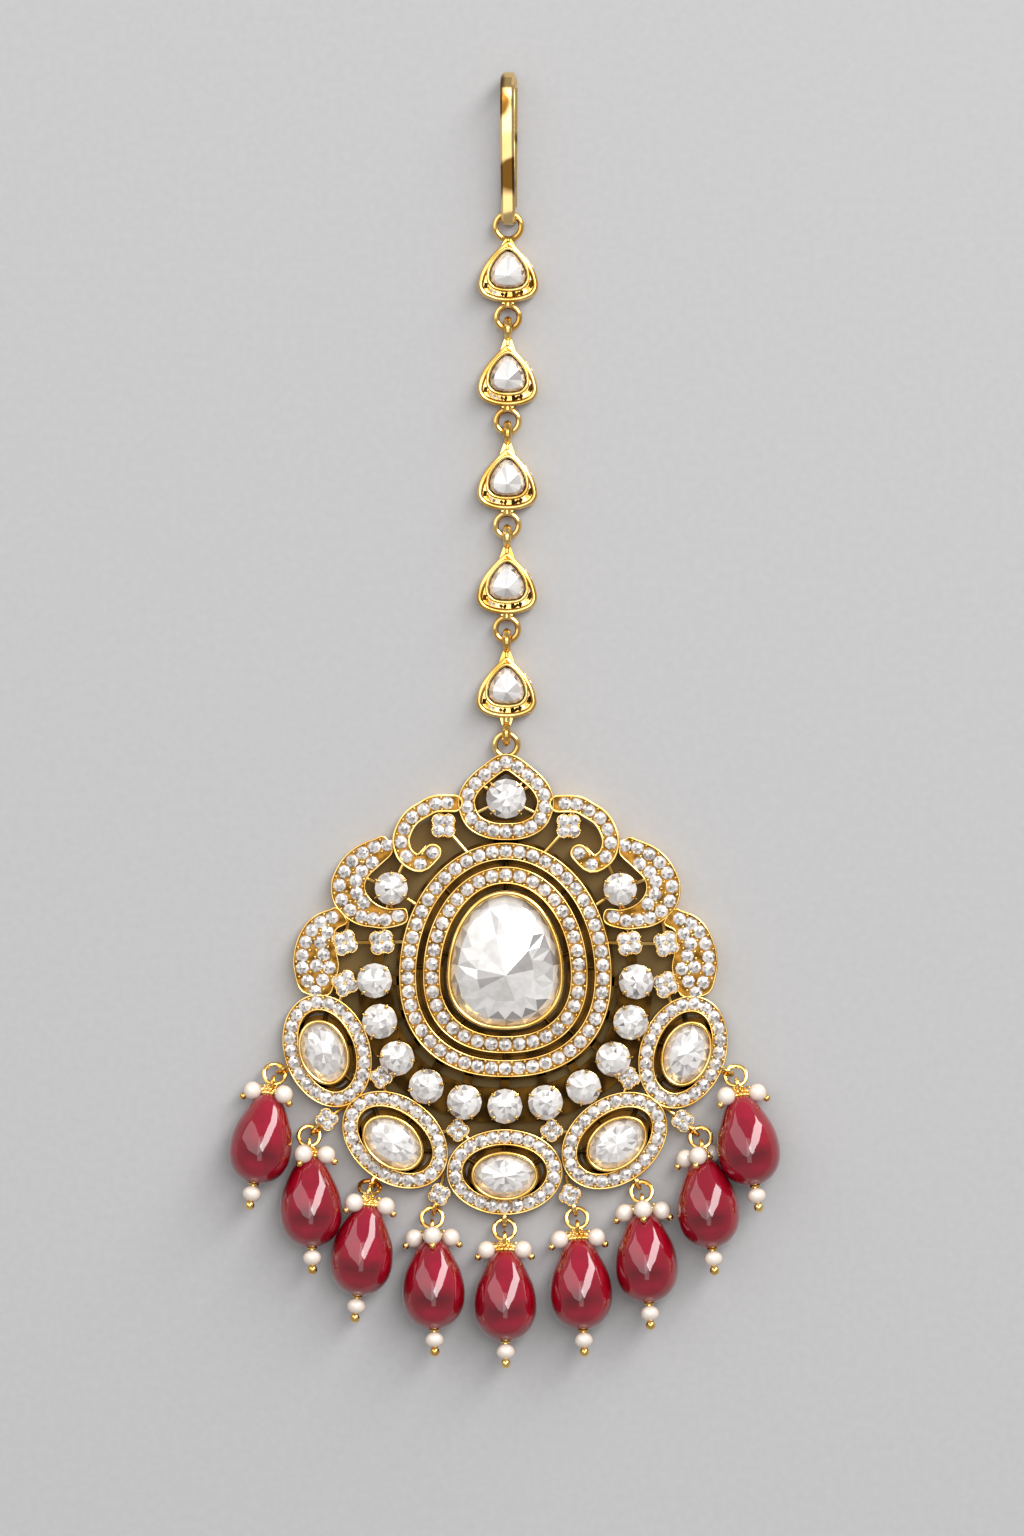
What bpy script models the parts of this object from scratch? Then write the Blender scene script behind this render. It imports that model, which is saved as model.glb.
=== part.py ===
"""Maang tikka lying on its back: hair hook, five stone-set links, pierced medallion, nine red drops.

Metres, +Z up, +Y towards the hook. The origin is the middle of the medallion's flat back, under the
centre stone. Stones, beads and links each keep a small gap to what carries them.
"""
import math

import bmesh
import bpy
from mathutils import Matrix, Vector

MM = 0.001

# Clearances
STONE_GAP = 0.3 * MM
LINK_GAP = 0.3 * MM

# Heights above the flat back
BAND_HEIGHT = 2.4 * MM
STRUT_HEIGHT = 1.7 * MM
LINK_MIDDLE = 1.4 * MM
DROP_EYE_MIDDLE = 1.35 * MM

# Medallion: SPREAD is the half width that the scrolls and petals are laid out on
SPREAD = 25.3 * MM
ROW_WIDTH = 2.06 * MM
HALO_ROW_WIDTH = 1.92 * MM
RING_SPACE = 0.8 * MM
STRUT_WIDTH = 0.8 * MM

EGG_CENTRE_Y = -0.0664 * SPREAD
EGG_HALF_WIDTH = 0.4625 * SPREAD
EGG_UP = 0.589 * SPREAD
EGG_DOWN = 0.4403 * SPREAD
EGG_FOOT_POWER = 2.3

CENTRE_BEZEL_HEIGHT = 4.2 * MM
CENTRE_BEZEL_WALL = 0.54 * MM
CENTRE_FLOOR = 2.0 * MM
CENTRE_STONE_HEIGHT = 2.7 * MM

TOP_HALO_Y = 0.7494 * SPREAD
TOP_HALO_HALF_WIDTH = 0.1874 * SPREAD
TOP_HALO_UP = 0.1945 * SPREAD
TOP_HALO_DOWN = 0.1348 * SPREAD
TOP_STONE_RADIUS = 2.4 * MM
TOP_STONE_Y = TOP_HALO_Y + 0.54 * MM
TOP_NECK_HALF_WIDTH = 0.0632 * SPREAD

ROUND_STONE_RADIUS = 2.1 * MM
ROUND_STONE_SPACE = 0.68 * MM
ROUND_ROW_OFFSET = 3.95 * MM
ROUND_ROW_DROP = EGG_DOWN + 4.48 * MM
ROUND_STONES = 11
PETAL_STONE_RADIUS = 2.0 * MM
SEAT_OVERHANG = 0.35 * MM
CLAW_STONE_HEIGHT = 1.3 * MM
GIRDLE_SHARE = 0.4
TABLE_SHARE = 0.46
CENTRE_TABLE_SHARE = 0.3

OVAL_LONG = 6.0 * MM
OVAL_SHORT = 4.18 * MM
OVAL_BEZEL_LONG = 4.02 * MM
OVAL_BEZEL_SHORT = 2.96 * MM
OVAL_BEZEL_SHIFT = 0.42 * MM
OVAL_BEZEL_HEIGHT = 3.4 * MM
OVAL_BEZEL_WALL = 0.4 * MM
OVAL_FLOOR = 1.5 * MM
OVAL_STONE_HEIGHT = 2.1 * MM
OVAL_BAR_START = 0.95

FLOWER_RADIUS = 1.4 * MM
SMALL_FLOWER_RADIUS = 1.15 * MM

# Chain
LINK_WIRE = 0.37 * MM
LINK_NECK = 1.3 * LINK_WIRE
LINK_RING_OUTER = 1.74 * MM
HOOK_RING_OUTER = 1.92 * MM
TRAY_HALF_WIDTH = 3.6 * MM
TRAY_LENGTH = 7.4 * MM
TRAY_HEIGHT = 2.3 * MM
TRAY_FLOOR = 1.2 * MM
TRAY_RIM = 0.5 * MM
TRAY_BEZEL_HALF_WIDTH = 2.6 * MM
TRAY_BEZEL_LENGTH = 5.4 * MM
TRAY_BEZEL_TOP = 0.75 * MM
TRAY_BEZEL_HEIGHT = 2.9 * MM
TRAY_BEZEL_WALL = 0.38 * MM
TRAY_STONE_HEIGHT = 1.9 * MM
TRAY_TO_LOOP = 3.28 * MM
TRAY_TO_RING = 1.77 * MM
LAST_LINK_SPACE = 0.6 * MM
CHAIN_LINKS = 5

# Hook
HOOK_WIDTH = 1.62 * MM
HOOK_THICKNESS = 0.8 * MM
HOOK_LENGTH = 18.4 * MM
HOOK_INNER_GAP = 3.2 * MM
HOOK_TIP_SPACE = 0.7 * MM
HOOK_END_SPACE = 0.2 * MM
HOOK_RISE_SHARES = (0.25, 0.6, 1.0)
HOOK_BEND_STEPS = 8

# Drops
JUMP_WIRE = 0.27 * MM
JUMP_RADIUS = 1.27 * MM
EYE_WIRE = 0.26 * MM
BEAD_RADIUS = 3.75 * MM
BEAD_TOP = 5.6 * MM
BEAD_BOTTOM = 5.1 * MM
BEAD_BORE = 0.64 * MM
PIN_WIRE = 0.33 * MM
PIN_EYE_REACH = 7.07 * MM
NECK_PEARL_RADIUS = 1.13 * MM
NECK_PEARL_SIDE = 2.2 * MM
NECK_PEARL_DROP = 2.5 * MM
END_PEARL_RADIUS = 1.13 * MM
END_PEARL_SQUASH = 0.86
END_BALL_RADIUS = 0.58 * MM
END_BALL_REACH = 0.75
FLOOR_CLEARANCE = 0.02 * MM

# Sides of the faceted solids
STONE_SIDES = 10
BEAD_SIDES = 10
LOOP_SIDES = 10
FLOWER_SIDES = 6
SEAT_SIDES = 8
EGG_SIDES = 26
OVAL_SIDES = 14
BEZEL_SIDES = 10
WIRE_SIDES = 5
PEARL_RINGS = 4


# Routes and tables: x and y as shares of SPREAD, right half of the medallion
SCROLL = [(0.245, 0.747), (0.334, 0.745), (0.391, 0.717), (0.445, 0.681), (0.481, 0.626),
          (0.496, 0.563), (0.472, 0.496), (0.405, 0.462), (0.346, 0.514)]
PETAL_OUTER = [(0.565, 0.549), (0.609, 0.540), (0.679, 0.511), (0.728, 0.472), (0.764, 0.421),
               (0.787, 0.358), (0.777, 0.289), (0.737, 0.240), (0.683, 0.208), (0.628, 0.199),
               (0.570, 0.194), (0.480, 0.222)]
PETAL_INNER = [(0.633, 0.468), (0.683, 0.430), (0.713, 0.393), (0.720, 0.350), (0.707, 0.315)]
LOBE_OUTER = [(0.787, 0.211), (0.821, 0.205), (0.877, 0.183), (0.917, 0.144), (0.946, 0.088),
              (0.962, 0.025), (0.962, -0.034), (0.925, -0.134)]
LOBE_INNER = [(0.843, 0.141), (0.876, 0.090), (0.862, 0.029), (0.845, -0.035), (0.850, -0.130)]

# Flower settings: centre as shares of SPREAD, True for the larger ones
FLOWERS = {
    "scroll": (0.296, 0.642, True),
    "inner": (0.586, 0.088, True),
    "outer": (0.761, 0.086, True),
    "lobe": (0.759, -0.107, True),
    "side_nook": (0.587, -0.550, False),
    "low_nook": (0.222, -0.799, False),
    "drop_side": (0.842, -0.751, False),
    "drop_low": (0.309, -1.104, False),
}

# Struts from one point to another, as shares of SPREAD
STRUTS = [
    (0.296, 0.642, 0.313, 0.725), (0.296, 0.642, 0.170, 0.500), (0.586, 0.088, 0.575, 0.190),
    (0.586, 0.088, 0.440, 0.092), (0.761, 0.086, 0.586, 0.088), (0.761, 0.086, 0.880, 0.088),
    (0.761, 0.086, 0.740, 0.225), (0.759, -0.107, 0.860, -0.100),
    (0.759, -0.107, 0.790, -0.215), (0.587, -0.550, 0.720, -0.540), (0.587, -0.550, 0.550, -0.670),
    (0.222, -0.799, 0.330, -0.810), (0.222, -0.799, 0.150, -0.860), (0.842, -0.751, 0.745, -0.680),
    (0.309, -1.104, 0.290, -1.010), (0.540, 0.344, 0.430, 0.270), (0.540, 0.344, 0.660, 0.390),
    (0.540, 0.344, 0.570, 0.210), (0.540, 0.344, 0.475, 0.480),
    (0.000, 0.771, 0.150, 0.850), (0.000, 0.771, 0.165, 0.690),
]

# Oval halos: centre as shares of SPREAD, lean of the long side from upright in degrees
OVALS = [
    ("oval_stone_1", -0.842, -0.426, 20), ("oval_stone_2", -0.519, -0.845, 53),
    ("oval_stone_3", 0.0, -0.996, 90),
    ("oval_stone_4", 0.519, -0.845, -53), ("oval_stone_5", 0.842, -0.426, -20),
]
OVAL_STRUT_TURNS = (-62, 0, 62)

# Bars across the two open rings, in degrees round the egg
OUTER_BARS = (90, 48, 132, 4, 176, -42, -138, -90)
INNER_BARS = (90, 14, 166, -50, -130)

# Drops from left to right: carrier, lean of the jump ring's place from straight down, swing of the
# drop, tilt of the jump ring, and how its neck pearls lie
DROPS = [
    ("oval_stone_1", -66, -10.2, 22, "right_in"), ("drop_side_left", -47, 2.0, 22, "left_front"),
    ("oval_stone_2", -28, -6.0, 55, "left_in"), ("drop_low_left", -17, 1.5, 22, "three"),
    ("oval_stone_3", 0, 0.8, 22, "pair"),
    ("drop_low_right", 17, 3.4, 22, "pair"), ("oval_stone_4", 28, 4.0, 22, "three"),
    ("drop_side_right", 47, 6.0, 22, "right_behind"), ("oval_stone_5", 66, 9.9, 22, "left_in"),
]

# Neck pearls: sideways and outwards as shares of NECK_PEARL_SIDE, down as a share of NECK_PEARL_DROP
SPRIGS = {
    "pair": ((-1.0, 1.0, 0.0), (1.0, 1.0, 0.0)),
    "three": ((-1.0, 1.0, 0.0), (1.0, 1.0, 0.0), (0.0, 0.98, 0.91)),
    "left_in": ((-0.72, 0.98, 0.6), (1.0, 1.0, 0.0)),
    "right_in": ((-1.0, 1.0, 0.0), (0.72, 0.98, 0.6)),
    "left_front": ((-0.32, 0.98, 0.86), (0.92, 0.98, 0.22)),
    "right_behind": ((-0.96, 0.98, 0.1), (-0.26, 0.98, 0.87), (0.5, 0.78, -0.71)),
}

# Half outline of a link's tray and of its stone, tip first: shares of half width and of length
TRAY_OUTLINE = [(0.0, 0.0), (0.25, 0.13), (0.58, 0.31), (0.93, 0.62), (1.0, 0.79), (0.78, 0.94),
                (0.0, 1.0)]
STONE_OUTLINE = [(0.0, 0.0), (0.46, 0.09), (0.86, 0.42), (0.98, 0.72), (0.66, 0.95), (0.0, 1.0)]

# Front leg of the hook where it curls up through the ring: along and upwards from the ring's inside,
# as shares of HOOK_THICKNESS, first for the low bends and then for the high ones
HOOK_CURL_LOW = [(0.69, 0.0), (0.15, 0.35)]
HOOK_CURL_HIGH = [(0.18, -0.33), (0.75, 0.06)]

# Pointed halo from its tip down: shares of its half width, and of its rise or its drop
TOP_HALO_RISE = [(0.0, 1.0), (0.47, 0.74), (0.86, 0.38), (1.0, 0.0)]
TOP_HALO_FALL = [(0.84, 0.62), (0.46, 0.93), (0.0, 1.0)]

# Teardrop outline from the top: radius as a share of BEAD_RADIUS, depth as a share of its length
BEAD_PROFILE = [(0.20, 0.0), (0.34, 0.11), (0.64, 0.25), (0.95, 0.53), (1.0, 0.65), (0.88, 0.81),
                (0.25, 1.0)]
BEAD_FAT_SHARE = 0.65


def clear_scene():
    for item in list(bpy.data.objects):
        bpy.data.objects.remove(item, do_unlink=True)


def make_material(name, colour, roughness, metallic):
    material = bpy.data.materials.new(name)
    material.use_nodes = True
    shader = material.node_tree.nodes["Principled BSDF"]
    shader.inputs["Base Color"].default_value = (*colour, 1.0)
    shader.inputs["Roughness"].default_value = roughness
    shader.inputs["Metallic"].default_value = metallic
    return material


def new_object(name, mesh, home):
    item = bpy.data.objects.new(name, mesh)
    home.objects.link(item)
    return item


def mesh_from(bm, name):
    mesh = bpy.data.meshes.new(name)
    bm.to_mesh(mesh)
    bm.free()
    return mesh


def as_mesh_object(curve_object, home):
    """The curve as a closed mesh object in the curve's place."""
    bpy.context.view_layer.update()
    graph = bpy.context.evaluated_depsgraph_get()
    mesh = bpy.data.meshes.new_from_object(curve_object.evaluated_get(graph))
    mesh.transform(curve_object.matrix_world)
    bm = bmesh.new()
    bm.from_mesh(mesh)
    bmesh.ops.remove_doubles(bm, verts=bm.verts, dist=1e-7)
    bm.to_mesh(mesh)
    bm.free()
    item = new_object(curve_object.name, mesh, home)
    bpy.data.objects.remove(curve_object, do_unlink=True)
    return item


def plate(loops, low, high, home):
    """A flat piece from outlines in the XY plane, between two heights."""
    curve = bpy.data.curves.new("plate", "CURVE")
    curve.dimensions = "2D"
    curve.fill_mode = "BOTH"
    curve.extrude = (high - low) / 2
    for loop in loops:
        spline = curve.splines.new("POLY")
        spline.points.add(len(loop) - 1)
        for point, place in zip(spline.points, loop):
            point.co = (place[0], place[1], 0, 1)
        spline.use_cyclic_u = True
    item = new_object("plate", curve, home)
    item.location.z = (low + high) / 2
    return as_mesh_object(item, home)


def hoop(radius, wire, matrix, home, sides=LOOP_SIDES):
    """A wire ring in the matrix's own XY plane."""
    bm = bmesh.new()
    disc = bmesh.ops.create_circle(bm, segments=WIRE_SIDES, radius=wire)
    bmesh.ops.rotate(bm, verts=disc["verts"], cent=(0, 0, 0), matrix=Matrix.Rotation(math.pi / 2, 3, "X"))
    bmesh.ops.translate(bm, verts=disc["verts"], vec=(radius, 0, 0))
    bmesh.ops.spin(bm, geom=bm.verts[:] + bm.edges[:], cent=(0, 0, 0), axis=(0, 0, 1), dvec=(0, 0, 0),
                   angle=2 * math.pi, steps=sides, use_merge=True)
    bmesh.ops.remove_doubles(bm, verts=bm.verts, dist=1e-7)
    bmesh.ops.recalc_face_normals(bm, faces=bm.faces)
    bm.transform(matrix)
    return new_object("hoop", mesh_from(bm, "hoop"), home)


def rod(start, end, radius, home, sides=6):
    """A round bar between two points."""
    start = Vector(start)
    end = Vector(end)
    along = end - start
    bm = bmesh.new()
    bmesh.ops.create_cone(bm, cap_ends=True, segments=sides, radius1=radius, radius2=radius,
                          depth=along.length)
    turn = along.to_track_quat("Z", "Y").to_matrix().to_4x4()
    bm.transform(Matrix.Translation((start + end) / 2) @ turn)
    return new_object("rod", mesh_from(bm, "rod"), home)


def ball(centre, radius, home, squash=1.0, sides=10, rings=PEARL_RINGS):
    """A round bead whose poles lie along Y."""
    bm = bmesh.new()
    bmesh.ops.create_uvsphere(bm, u_segments=sides, v_segments=rings, radius=radius)
    bm.transform(Matrix.Diagonal((1, 1, squash, 1)))
    bm.transform(Matrix.Rotation(math.pi / 2, 4, "X"))
    bm.transform(Matrix.Translation(centre))
    return new_object("ball", mesh_from(bm, "ball"), home)


def fuse(name, pieces, home, material):
    """One solid from overlapping pieces, in the model's collection."""
    operands = bpy.data.collections.new(name + "_pieces")
    for piece in pieces[1:]:
        operands.objects.link(piece)
    join = pieces[0].modifiers.new("join", "BOOLEAN")
    join.operation = "UNION"
    join.operand_type = "COLLECTION"
    join.collection = operands
    join.solver = "EXACT"
    bpy.context.view_layer.update()
    graph = bpy.context.evaluated_depsgraph_get()
    mesh = bpy.data.meshes.new_from_object(pieces[0].evaluated_get(graph))
    for piece in pieces:
        bpy.data.objects.remove(piece, do_unlink=True)
    bpy.data.collections.remove(operands)
    bm = bmesh.new()
    bm.from_mesh(mesh)
    bmesh.ops.remove_doubles(bm, verts=bm.verts, dist=2e-6)
    bmesh.ops.dissolve_limit(bm, angle_limit=math.radians(0.2), verts=bm.verts, edges=bm.edges)
    bm.to_mesh(mesh)
    bm.free()
    mesh.name = name
    item = new_object(name, mesh, home)
    mesh.materials.clear()
    mesh.materials.append(material)
    return item


def smooth_route(points, steps, closed=False):
    """A smooth curve through the points, with the given number of steps a span."""
    count = len(points)
    spans = count if closed else count - 1
    route = []
    for i in range(spans):
        if closed:
            a, b, c, d = (points[(i + k - 1) % count] for k in range(4))
        else:
            a, b, c, d = (points[min(max(i + k - 1, 0), count - 1)] for k in range(4))
        a, b, c, d = Vector(a), Vector(b), Vector(c), Vector(d)
        for step in range(steps):
            t = step / steps
            route.append((2 * b + (c - a) * t + (2 * a - 5 * b + 4 * c - d) * t ** 2
                          + (3 * b - a - 3 * c + d) * t ** 3) / 2)
    if not closed:
        route.append(Vector(points[-1]))
    return route


def sideways(route, distance, closed=False):
    """The route moved to its left by the distance."""
    count = len(route)
    moved = []
    for i, point in enumerate(route):
        if closed:
            ahead = route[(i + 1) % count]
            behind = route[i - 1]
        else:
            ahead = route[min(i + 1, count - 1)]
            behind = route[max(i - 1, 0)]
        along = (ahead - behind).normalized()
        moved.append(point + Vector((-along.y, along.x)) * distance)
    return moved


def inset(loop, distance):
    """A closed outline that runs anticlockwise, drawn in by the distance."""
    return sideways(loop, distance, closed=True)


def ribbon(route, half_width):
    """The outline of a band of even width along an open route, with round ends."""
    left = sideways(route, half_width)
    right = sideways(route, -half_width)
    outline = list(right)
    for end, ahead in ((route[-1], route[-1] - route[-2]), (route[0], route[0] - route[1])):
        heading = math.atan2(ahead.y, ahead.x)
        for turn in (-45, 0, 45):
            angle = heading + math.radians(turn)
            outline.append(end + Vector((math.cos(angle), math.sin(angle))) * half_width)
        if end == route[-1]:
            outline.extend(reversed(left))
    return outline


def mirrored(loop):
    return [Vector((-point[0], point[1])) for point in reversed(loop)]


def circle(x, y, radius, sides):
    turns = [2 * math.pi * i / sides for i in range(sides)]
    return [Vector((x + radius * math.cos(turn), y + radius * math.sin(turn))) for turn in turns]


def power(value, exponent):
    return math.copysign(abs(value) ** exponent, value)


def egg_point(turn, grow):
    """A point of the egg outline, grown outwards from the outer row's line."""
    side = math.cos(turn)
    rise = math.sin(turn)
    exponent = 1.0 if rise >= 0 else 2 / EGG_FOOT_POWER
    height = EGG_UP if rise >= 0 else EGG_DOWN
    x = (EGG_HALF_WIDTH + grow) * power(side, exponent)
    y = (height + grow) * power(rise, exponent)
    return Vector((x, EGG_CENTRE_Y + y))


def egg_loop(grow, sides):
    return [egg_point(2 * math.pi * i / sides, grow) for i in range(sides)]


def oval_frame(x, y, lean):
    """Place of an oval halo: its own Y runs along the long side."""
    place = Matrix.Translation((x * SPREAD, y * SPREAD, 0))
    return place @ Matrix.Rotation(math.radians(lean), 4, "Z")


def oval_loop(frame, short, long, sides, shift=Vector((0, 0, 0))):
    loop = []
    for i in range(sides):
        turn = 2 * math.pi * i / sides
        point = frame @ Vector((short * math.cos(turn), long * math.sin(turn), 0)) + shift
        loop.append(point.to_2d())
    return loop


def outward_shift(frame):
    """Oval bezels sit a little off centre, away from the egg."""
    centre = frame.translation - Vector((0, EGG_CENTRE_Y, 0))
    across = frame.to_3x3() @ Vector((1, 0, 0))
    if across.dot(centre) < 0:
        across = -across
    return across * OVAL_BEZEL_SHIFT


def shield_loop(outline, top, half_width, length, steps=1):
    """Closed symmetric outline from its right half, tip at the given height."""
    half = [Vector((x * half_width, top - y * length)) for x, y in outline]
    left = mirrored(half)[1:-1]
    return smooth_route(list(reversed(half + left)), steps, closed=True)


def cut_stone(name, loop, low, height, home, material, table=TABLE_SHARE):
    """A cut stone: flat back, upright girdle, sloped crown facets and a flat table."""
    girdle = height * GIRDLE_SHARE
    centre = sum(loop, Vector((0, 0))) / len(loop)
    bm = bmesh.new()
    face = bm.faces.new([bm.verts.new((point.x, point.y, low)) for point in loop])
    crown = bmesh.ops.extrude_face_region(bm, geom=[face])
    ring = [item for item in crown["geom"] if isinstance(item, bmesh.types.BMVert)]
    top = [item for item in crown["geom"] if isinstance(item, bmesh.types.BMFace)]
    bmesh.ops.translate(bm, verts=ring, vec=(0, 0, girdle))
    flat = bmesh.ops.extrude_face_region(bm, geom=top)
    ring = [item for item in flat["geom"] if isinstance(item, bmesh.types.BMVert)]
    bmesh.ops.delete(bm, geom=top, context="FACES_ONLY")
    around = Matrix.Translation((-centre.x, -centre.y, 0))
    bmesh.ops.scale(bm, verts=ring, vec=(table, table, 1), space=around)
    bmesh.ops.translate(bm, verts=ring, vec=(0, 0, height - girdle))
    bmesh.ops.recalc_face_normals(bm, faces=bm.faces)
    item = new_object(name, mesh_from(bm, name), home)
    item.data.materials.append(material)
    return item


def share_point(x, y):
    return Vector((x * SPREAD, y * SPREAD))


def strut(start, end, scrap, width=STRUT_WIDTH, height=STRUT_HEIGHT):
    """A small upright bar between two points of the medallion."""
    route = [Vector(start), Vector(end)]
    loop = sideways(route, width / 2) + list(reversed(sideways(route, -width / 2)))
    return plate([loop], 0, height, scrap)


def both_sides(x, y):
    point = share_point(x, y)
    return point, Vector((-point.x, point.y))


def round_stone_places():
    """Places of the claw-set stones below the egg, one stone and a space apart."""
    pitch = 2 * ROUND_STONE_RADIUS + ROUND_STONE_SPACE
    half_width = EGG_HALF_WIDTH + ROUND_ROW_OFFSET

    def on_row(turn):
        exponent = 2 / EGG_FOOT_POWER if turn < 0 else 1.0
        x = half_width * power(math.cos(turn), exponent)
        y = ROUND_ROW_DROP * power(math.sin(turn), exponent)
        return Vector((x, EGG_CENTRE_Y + y))

    places = [on_row(-math.pi / 2)]
    turn = -math.pi / 2
    while len(places) < (ROUND_STONES + 1) // 2:
        while (on_row(turn) - places[-1]).length < pitch:
            turn += math.radians(0.1)
        places.append(on_row(turn))
    left = [Vector((-place.x, place.y)) for place in reversed(places[1:])]
    return left + places


def egg_rings(scrap):
    half = ROW_WIDTH / 2
    inner_line = -(ROW_WIDTH + RING_SPACE)
    bezel_outer = inner_line - half - RING_SPACE
    bezel_inner = bezel_outer - CENTRE_BEZEL_WALL
    pieces = [
        plate([egg_loop(half, EGG_SIDES), egg_loop(-half, EGG_SIDES)], 0, BAND_HEIGHT, scrap),
        plate([egg_loop(inner_line + half, EGG_SIDES), egg_loop(inner_line - half, EGG_SIDES)], 0,
              BAND_HEIGHT, scrap),
        plate([egg_loop(bezel_outer, EGG_SIDES), egg_loop(bezel_inner, EGG_SIDES)], 0,
              CENTRE_BEZEL_HEIGHT, scrap),
        plate([egg_loop((bezel_outer + bezel_inner) / 2, EGG_SIDES)], 0, CENTRE_FLOOR, scrap),
    ]
    for degrees in OUTER_BARS:
        turn = math.radians(degrees)
        pieces.append(strut(egg_point(turn, 0), egg_point(turn, inner_line), scrap))
    for degrees in INNER_BARS:
        turn = math.radians(degrees)
        pieces.append(strut(egg_point(turn, inner_line), egg_point(turn, bezel_inner), scrap))
    return pieces


def centre_bezel_inner():
    return -(ROW_WIDTH + RING_SPACE) - ROW_WIDTH / 2 - RING_SPACE - CENTRE_BEZEL_WALL


def top_halo(scrap):
    """The pointed halo at the top, its seat, its neck to the egg and the ring above it."""
    half = ROW_WIDTH / 2
    line = [Vector((x * TOP_HALO_HALF_WIDTH, TOP_HALO_Y + y * TOP_HALO_UP)) for x, y in TOP_HALO_RISE]
    line += [Vector((x * TOP_HALO_HALF_WIDTH, TOP_HALO_Y - y * TOP_HALO_DOWN)) for x, y in TOP_HALO_FALL]
    line = list(reversed(line + mirrored(line)[1:-1]))
    route = smooth_route(line, 2, closed=True)
    outer = inset(route, -half)
    inner = inset(route, half)
    low = Vector((0, EGG_CENTRE_Y + EGG_UP))
    high = Vector((0, TOP_HALO_Y - TOP_HALO_DOWN))
    return [
        plate([outer, inner], 0, BAND_HEIGHT, scrap),
        plate([circle(0, TOP_STONE_Y, TOP_STONE_RADIUS - SEAT_OVERHANG, SEAT_SIDES)], 0, BAND_HEIGHT, scrap),
        strut(low, high, scrap, width=2 * TOP_NECK_HALF_WIDTH, height=BAND_HEIGHT),
    ]


def top_ring_middle():
    """Height of the medallion's top ring, standing on the pointed halo."""
    return TOP_HALO_Y + TOP_HALO_UP + ROW_WIDTH / 2 + LINK_RING_OUTER - 2 * LINK_WIRE


def scrolls_and_petals(scrap):
    half = ROW_WIDTH / 2
    pieces = []
    for table in (SCROLL, PETAL_OUTER, PETAL_INNER, LOBE_OUTER, LOBE_INNER):
        outline = ribbon([share_point(x, y) for x, y in table], half)
        pieces.append(plate([outline], 0, BAND_HEIGHT, scrap))
        pieces.append(plate([mirrored(outline)], 0, BAND_HEIGHT, scrap))
    return pieces


def flower_radius(large):
    return FLOWER_RADIUS if large else SMALL_FLOWER_RADIUS


def flowers(scrap):
    pieces = []
    for x, y, large in FLOWERS.values():
        for place in both_sides(x, y):
            outline = circle(place.x, place.y, flower_radius(large), FLOWER_SIDES)
            pieces.append(plate([outline], 0, BAND_HEIGHT, scrap))
    return pieces


def claw_seats(scrap):
    """Discs under the claw-set stones, with the struts that carry them."""
    places = round_stone_places()
    radius = ROUND_STONE_RADIUS - SEAT_OVERHANG
    pieces = [plate([circle(place.x, place.y, radius, SEAT_SIDES)], 0, BAND_HEIGHT, scrap)
              for place in places]
    pieces.append(plate([ribbon(places, STRUT_WIDTH / 2)], 0, STRUT_HEIGHT, scrap))
    middle = Vector((0, EGG_CENTRE_Y))
    for place in places[::2]:
        turn = math.atan2(place.y - middle.y, place.x)
        pieces.append(strut(place, egg_point(turn, 0), scrap))
    for place, flower in ((places[0], "inner"), (places[2], "side_nook"), (places[4], "low_nook")):
        x, y, _ = FLOWERS[flower]
        target = Vector((-x * SPREAD, y * SPREAD))
        pieces.append(strut(place, target, scrap))
        pieces.append(strut(Vector((-place.x, place.y)), Vector((-target.x, target.y)), scrap))
    pieces.append(strut(places[5], share_point(*OVALS[2][1:3]) + Vector((0, OVAL_SHORT)), scrap))
    x, y = petal_stone_place()
    seat = PETAL_STONE_RADIUS - SEAT_OVERHANG
    for side in (-1, 1):
        pieces.append(plate([circle(side * x, y, seat, SEAT_SIDES)], 0, BAND_HEIGHT, scrap))
    return pieces


def petal_stone_place():
    return 0.541 * SPREAD, 0.344 * SPREAD


def struts(scrap):
    pieces = []
    for x0, y0, x1, y1 in STRUTS:
        for start, end in zip(both_sides(x0, y0), both_sides(x1, y1)):
            pieces.append(strut(start, end, scrap))
    return pieces


def oval_halos(scrap):
    half = HALO_ROW_WIDTH / 2
    pieces = []
    for _, x, y, lean in OVALS:
        frame = oval_frame(x, y, lean)
        shift = outward_shift(frame)
        outer = oval_loop(frame, OVAL_SHORT + half, OVAL_LONG + half, OVAL_SIDES)
        inner = oval_loop(frame, OVAL_SHORT - half, OVAL_LONG - half, OVAL_SIDES)
        wall = oval_loop(frame, OVAL_BEZEL_SHORT, OVAL_BEZEL_LONG, BEZEL_SIDES, shift)
        inside = inset(wall, OVAL_BEZEL_WALL)
        floor = inset(wall, OVAL_BEZEL_WALL / 2)
        pieces.append(plate([outer, inner], 0, BAND_HEIGHT, scrap))
        pieces.append(plate([wall, inside], 0, OVAL_BEZEL_HEIGHT, scrap))
        pieces.append(plate([floor], 0, OVAL_FLOOR, scrap))
        inward = math.atan2(-shift.y, -shift.x)
        for turn in OVAL_STRUT_TURNS:
            angle = inward + math.radians(turn) - math.radians(lean)
            near = Vector((OVAL_BEZEL_SHORT * math.cos(angle), OVAL_BEZEL_LONG * math.sin(angle), 0))
            far = Vector((OVAL_SHORT * math.cos(angle), OVAL_LONG * math.sin(angle), 0))
            start = frame @ (near * OVAL_BAR_START) + shift
            pieces.append(strut(start.to_2d(), (frame @ far).to_2d(), scrap))
    return pieces


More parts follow.
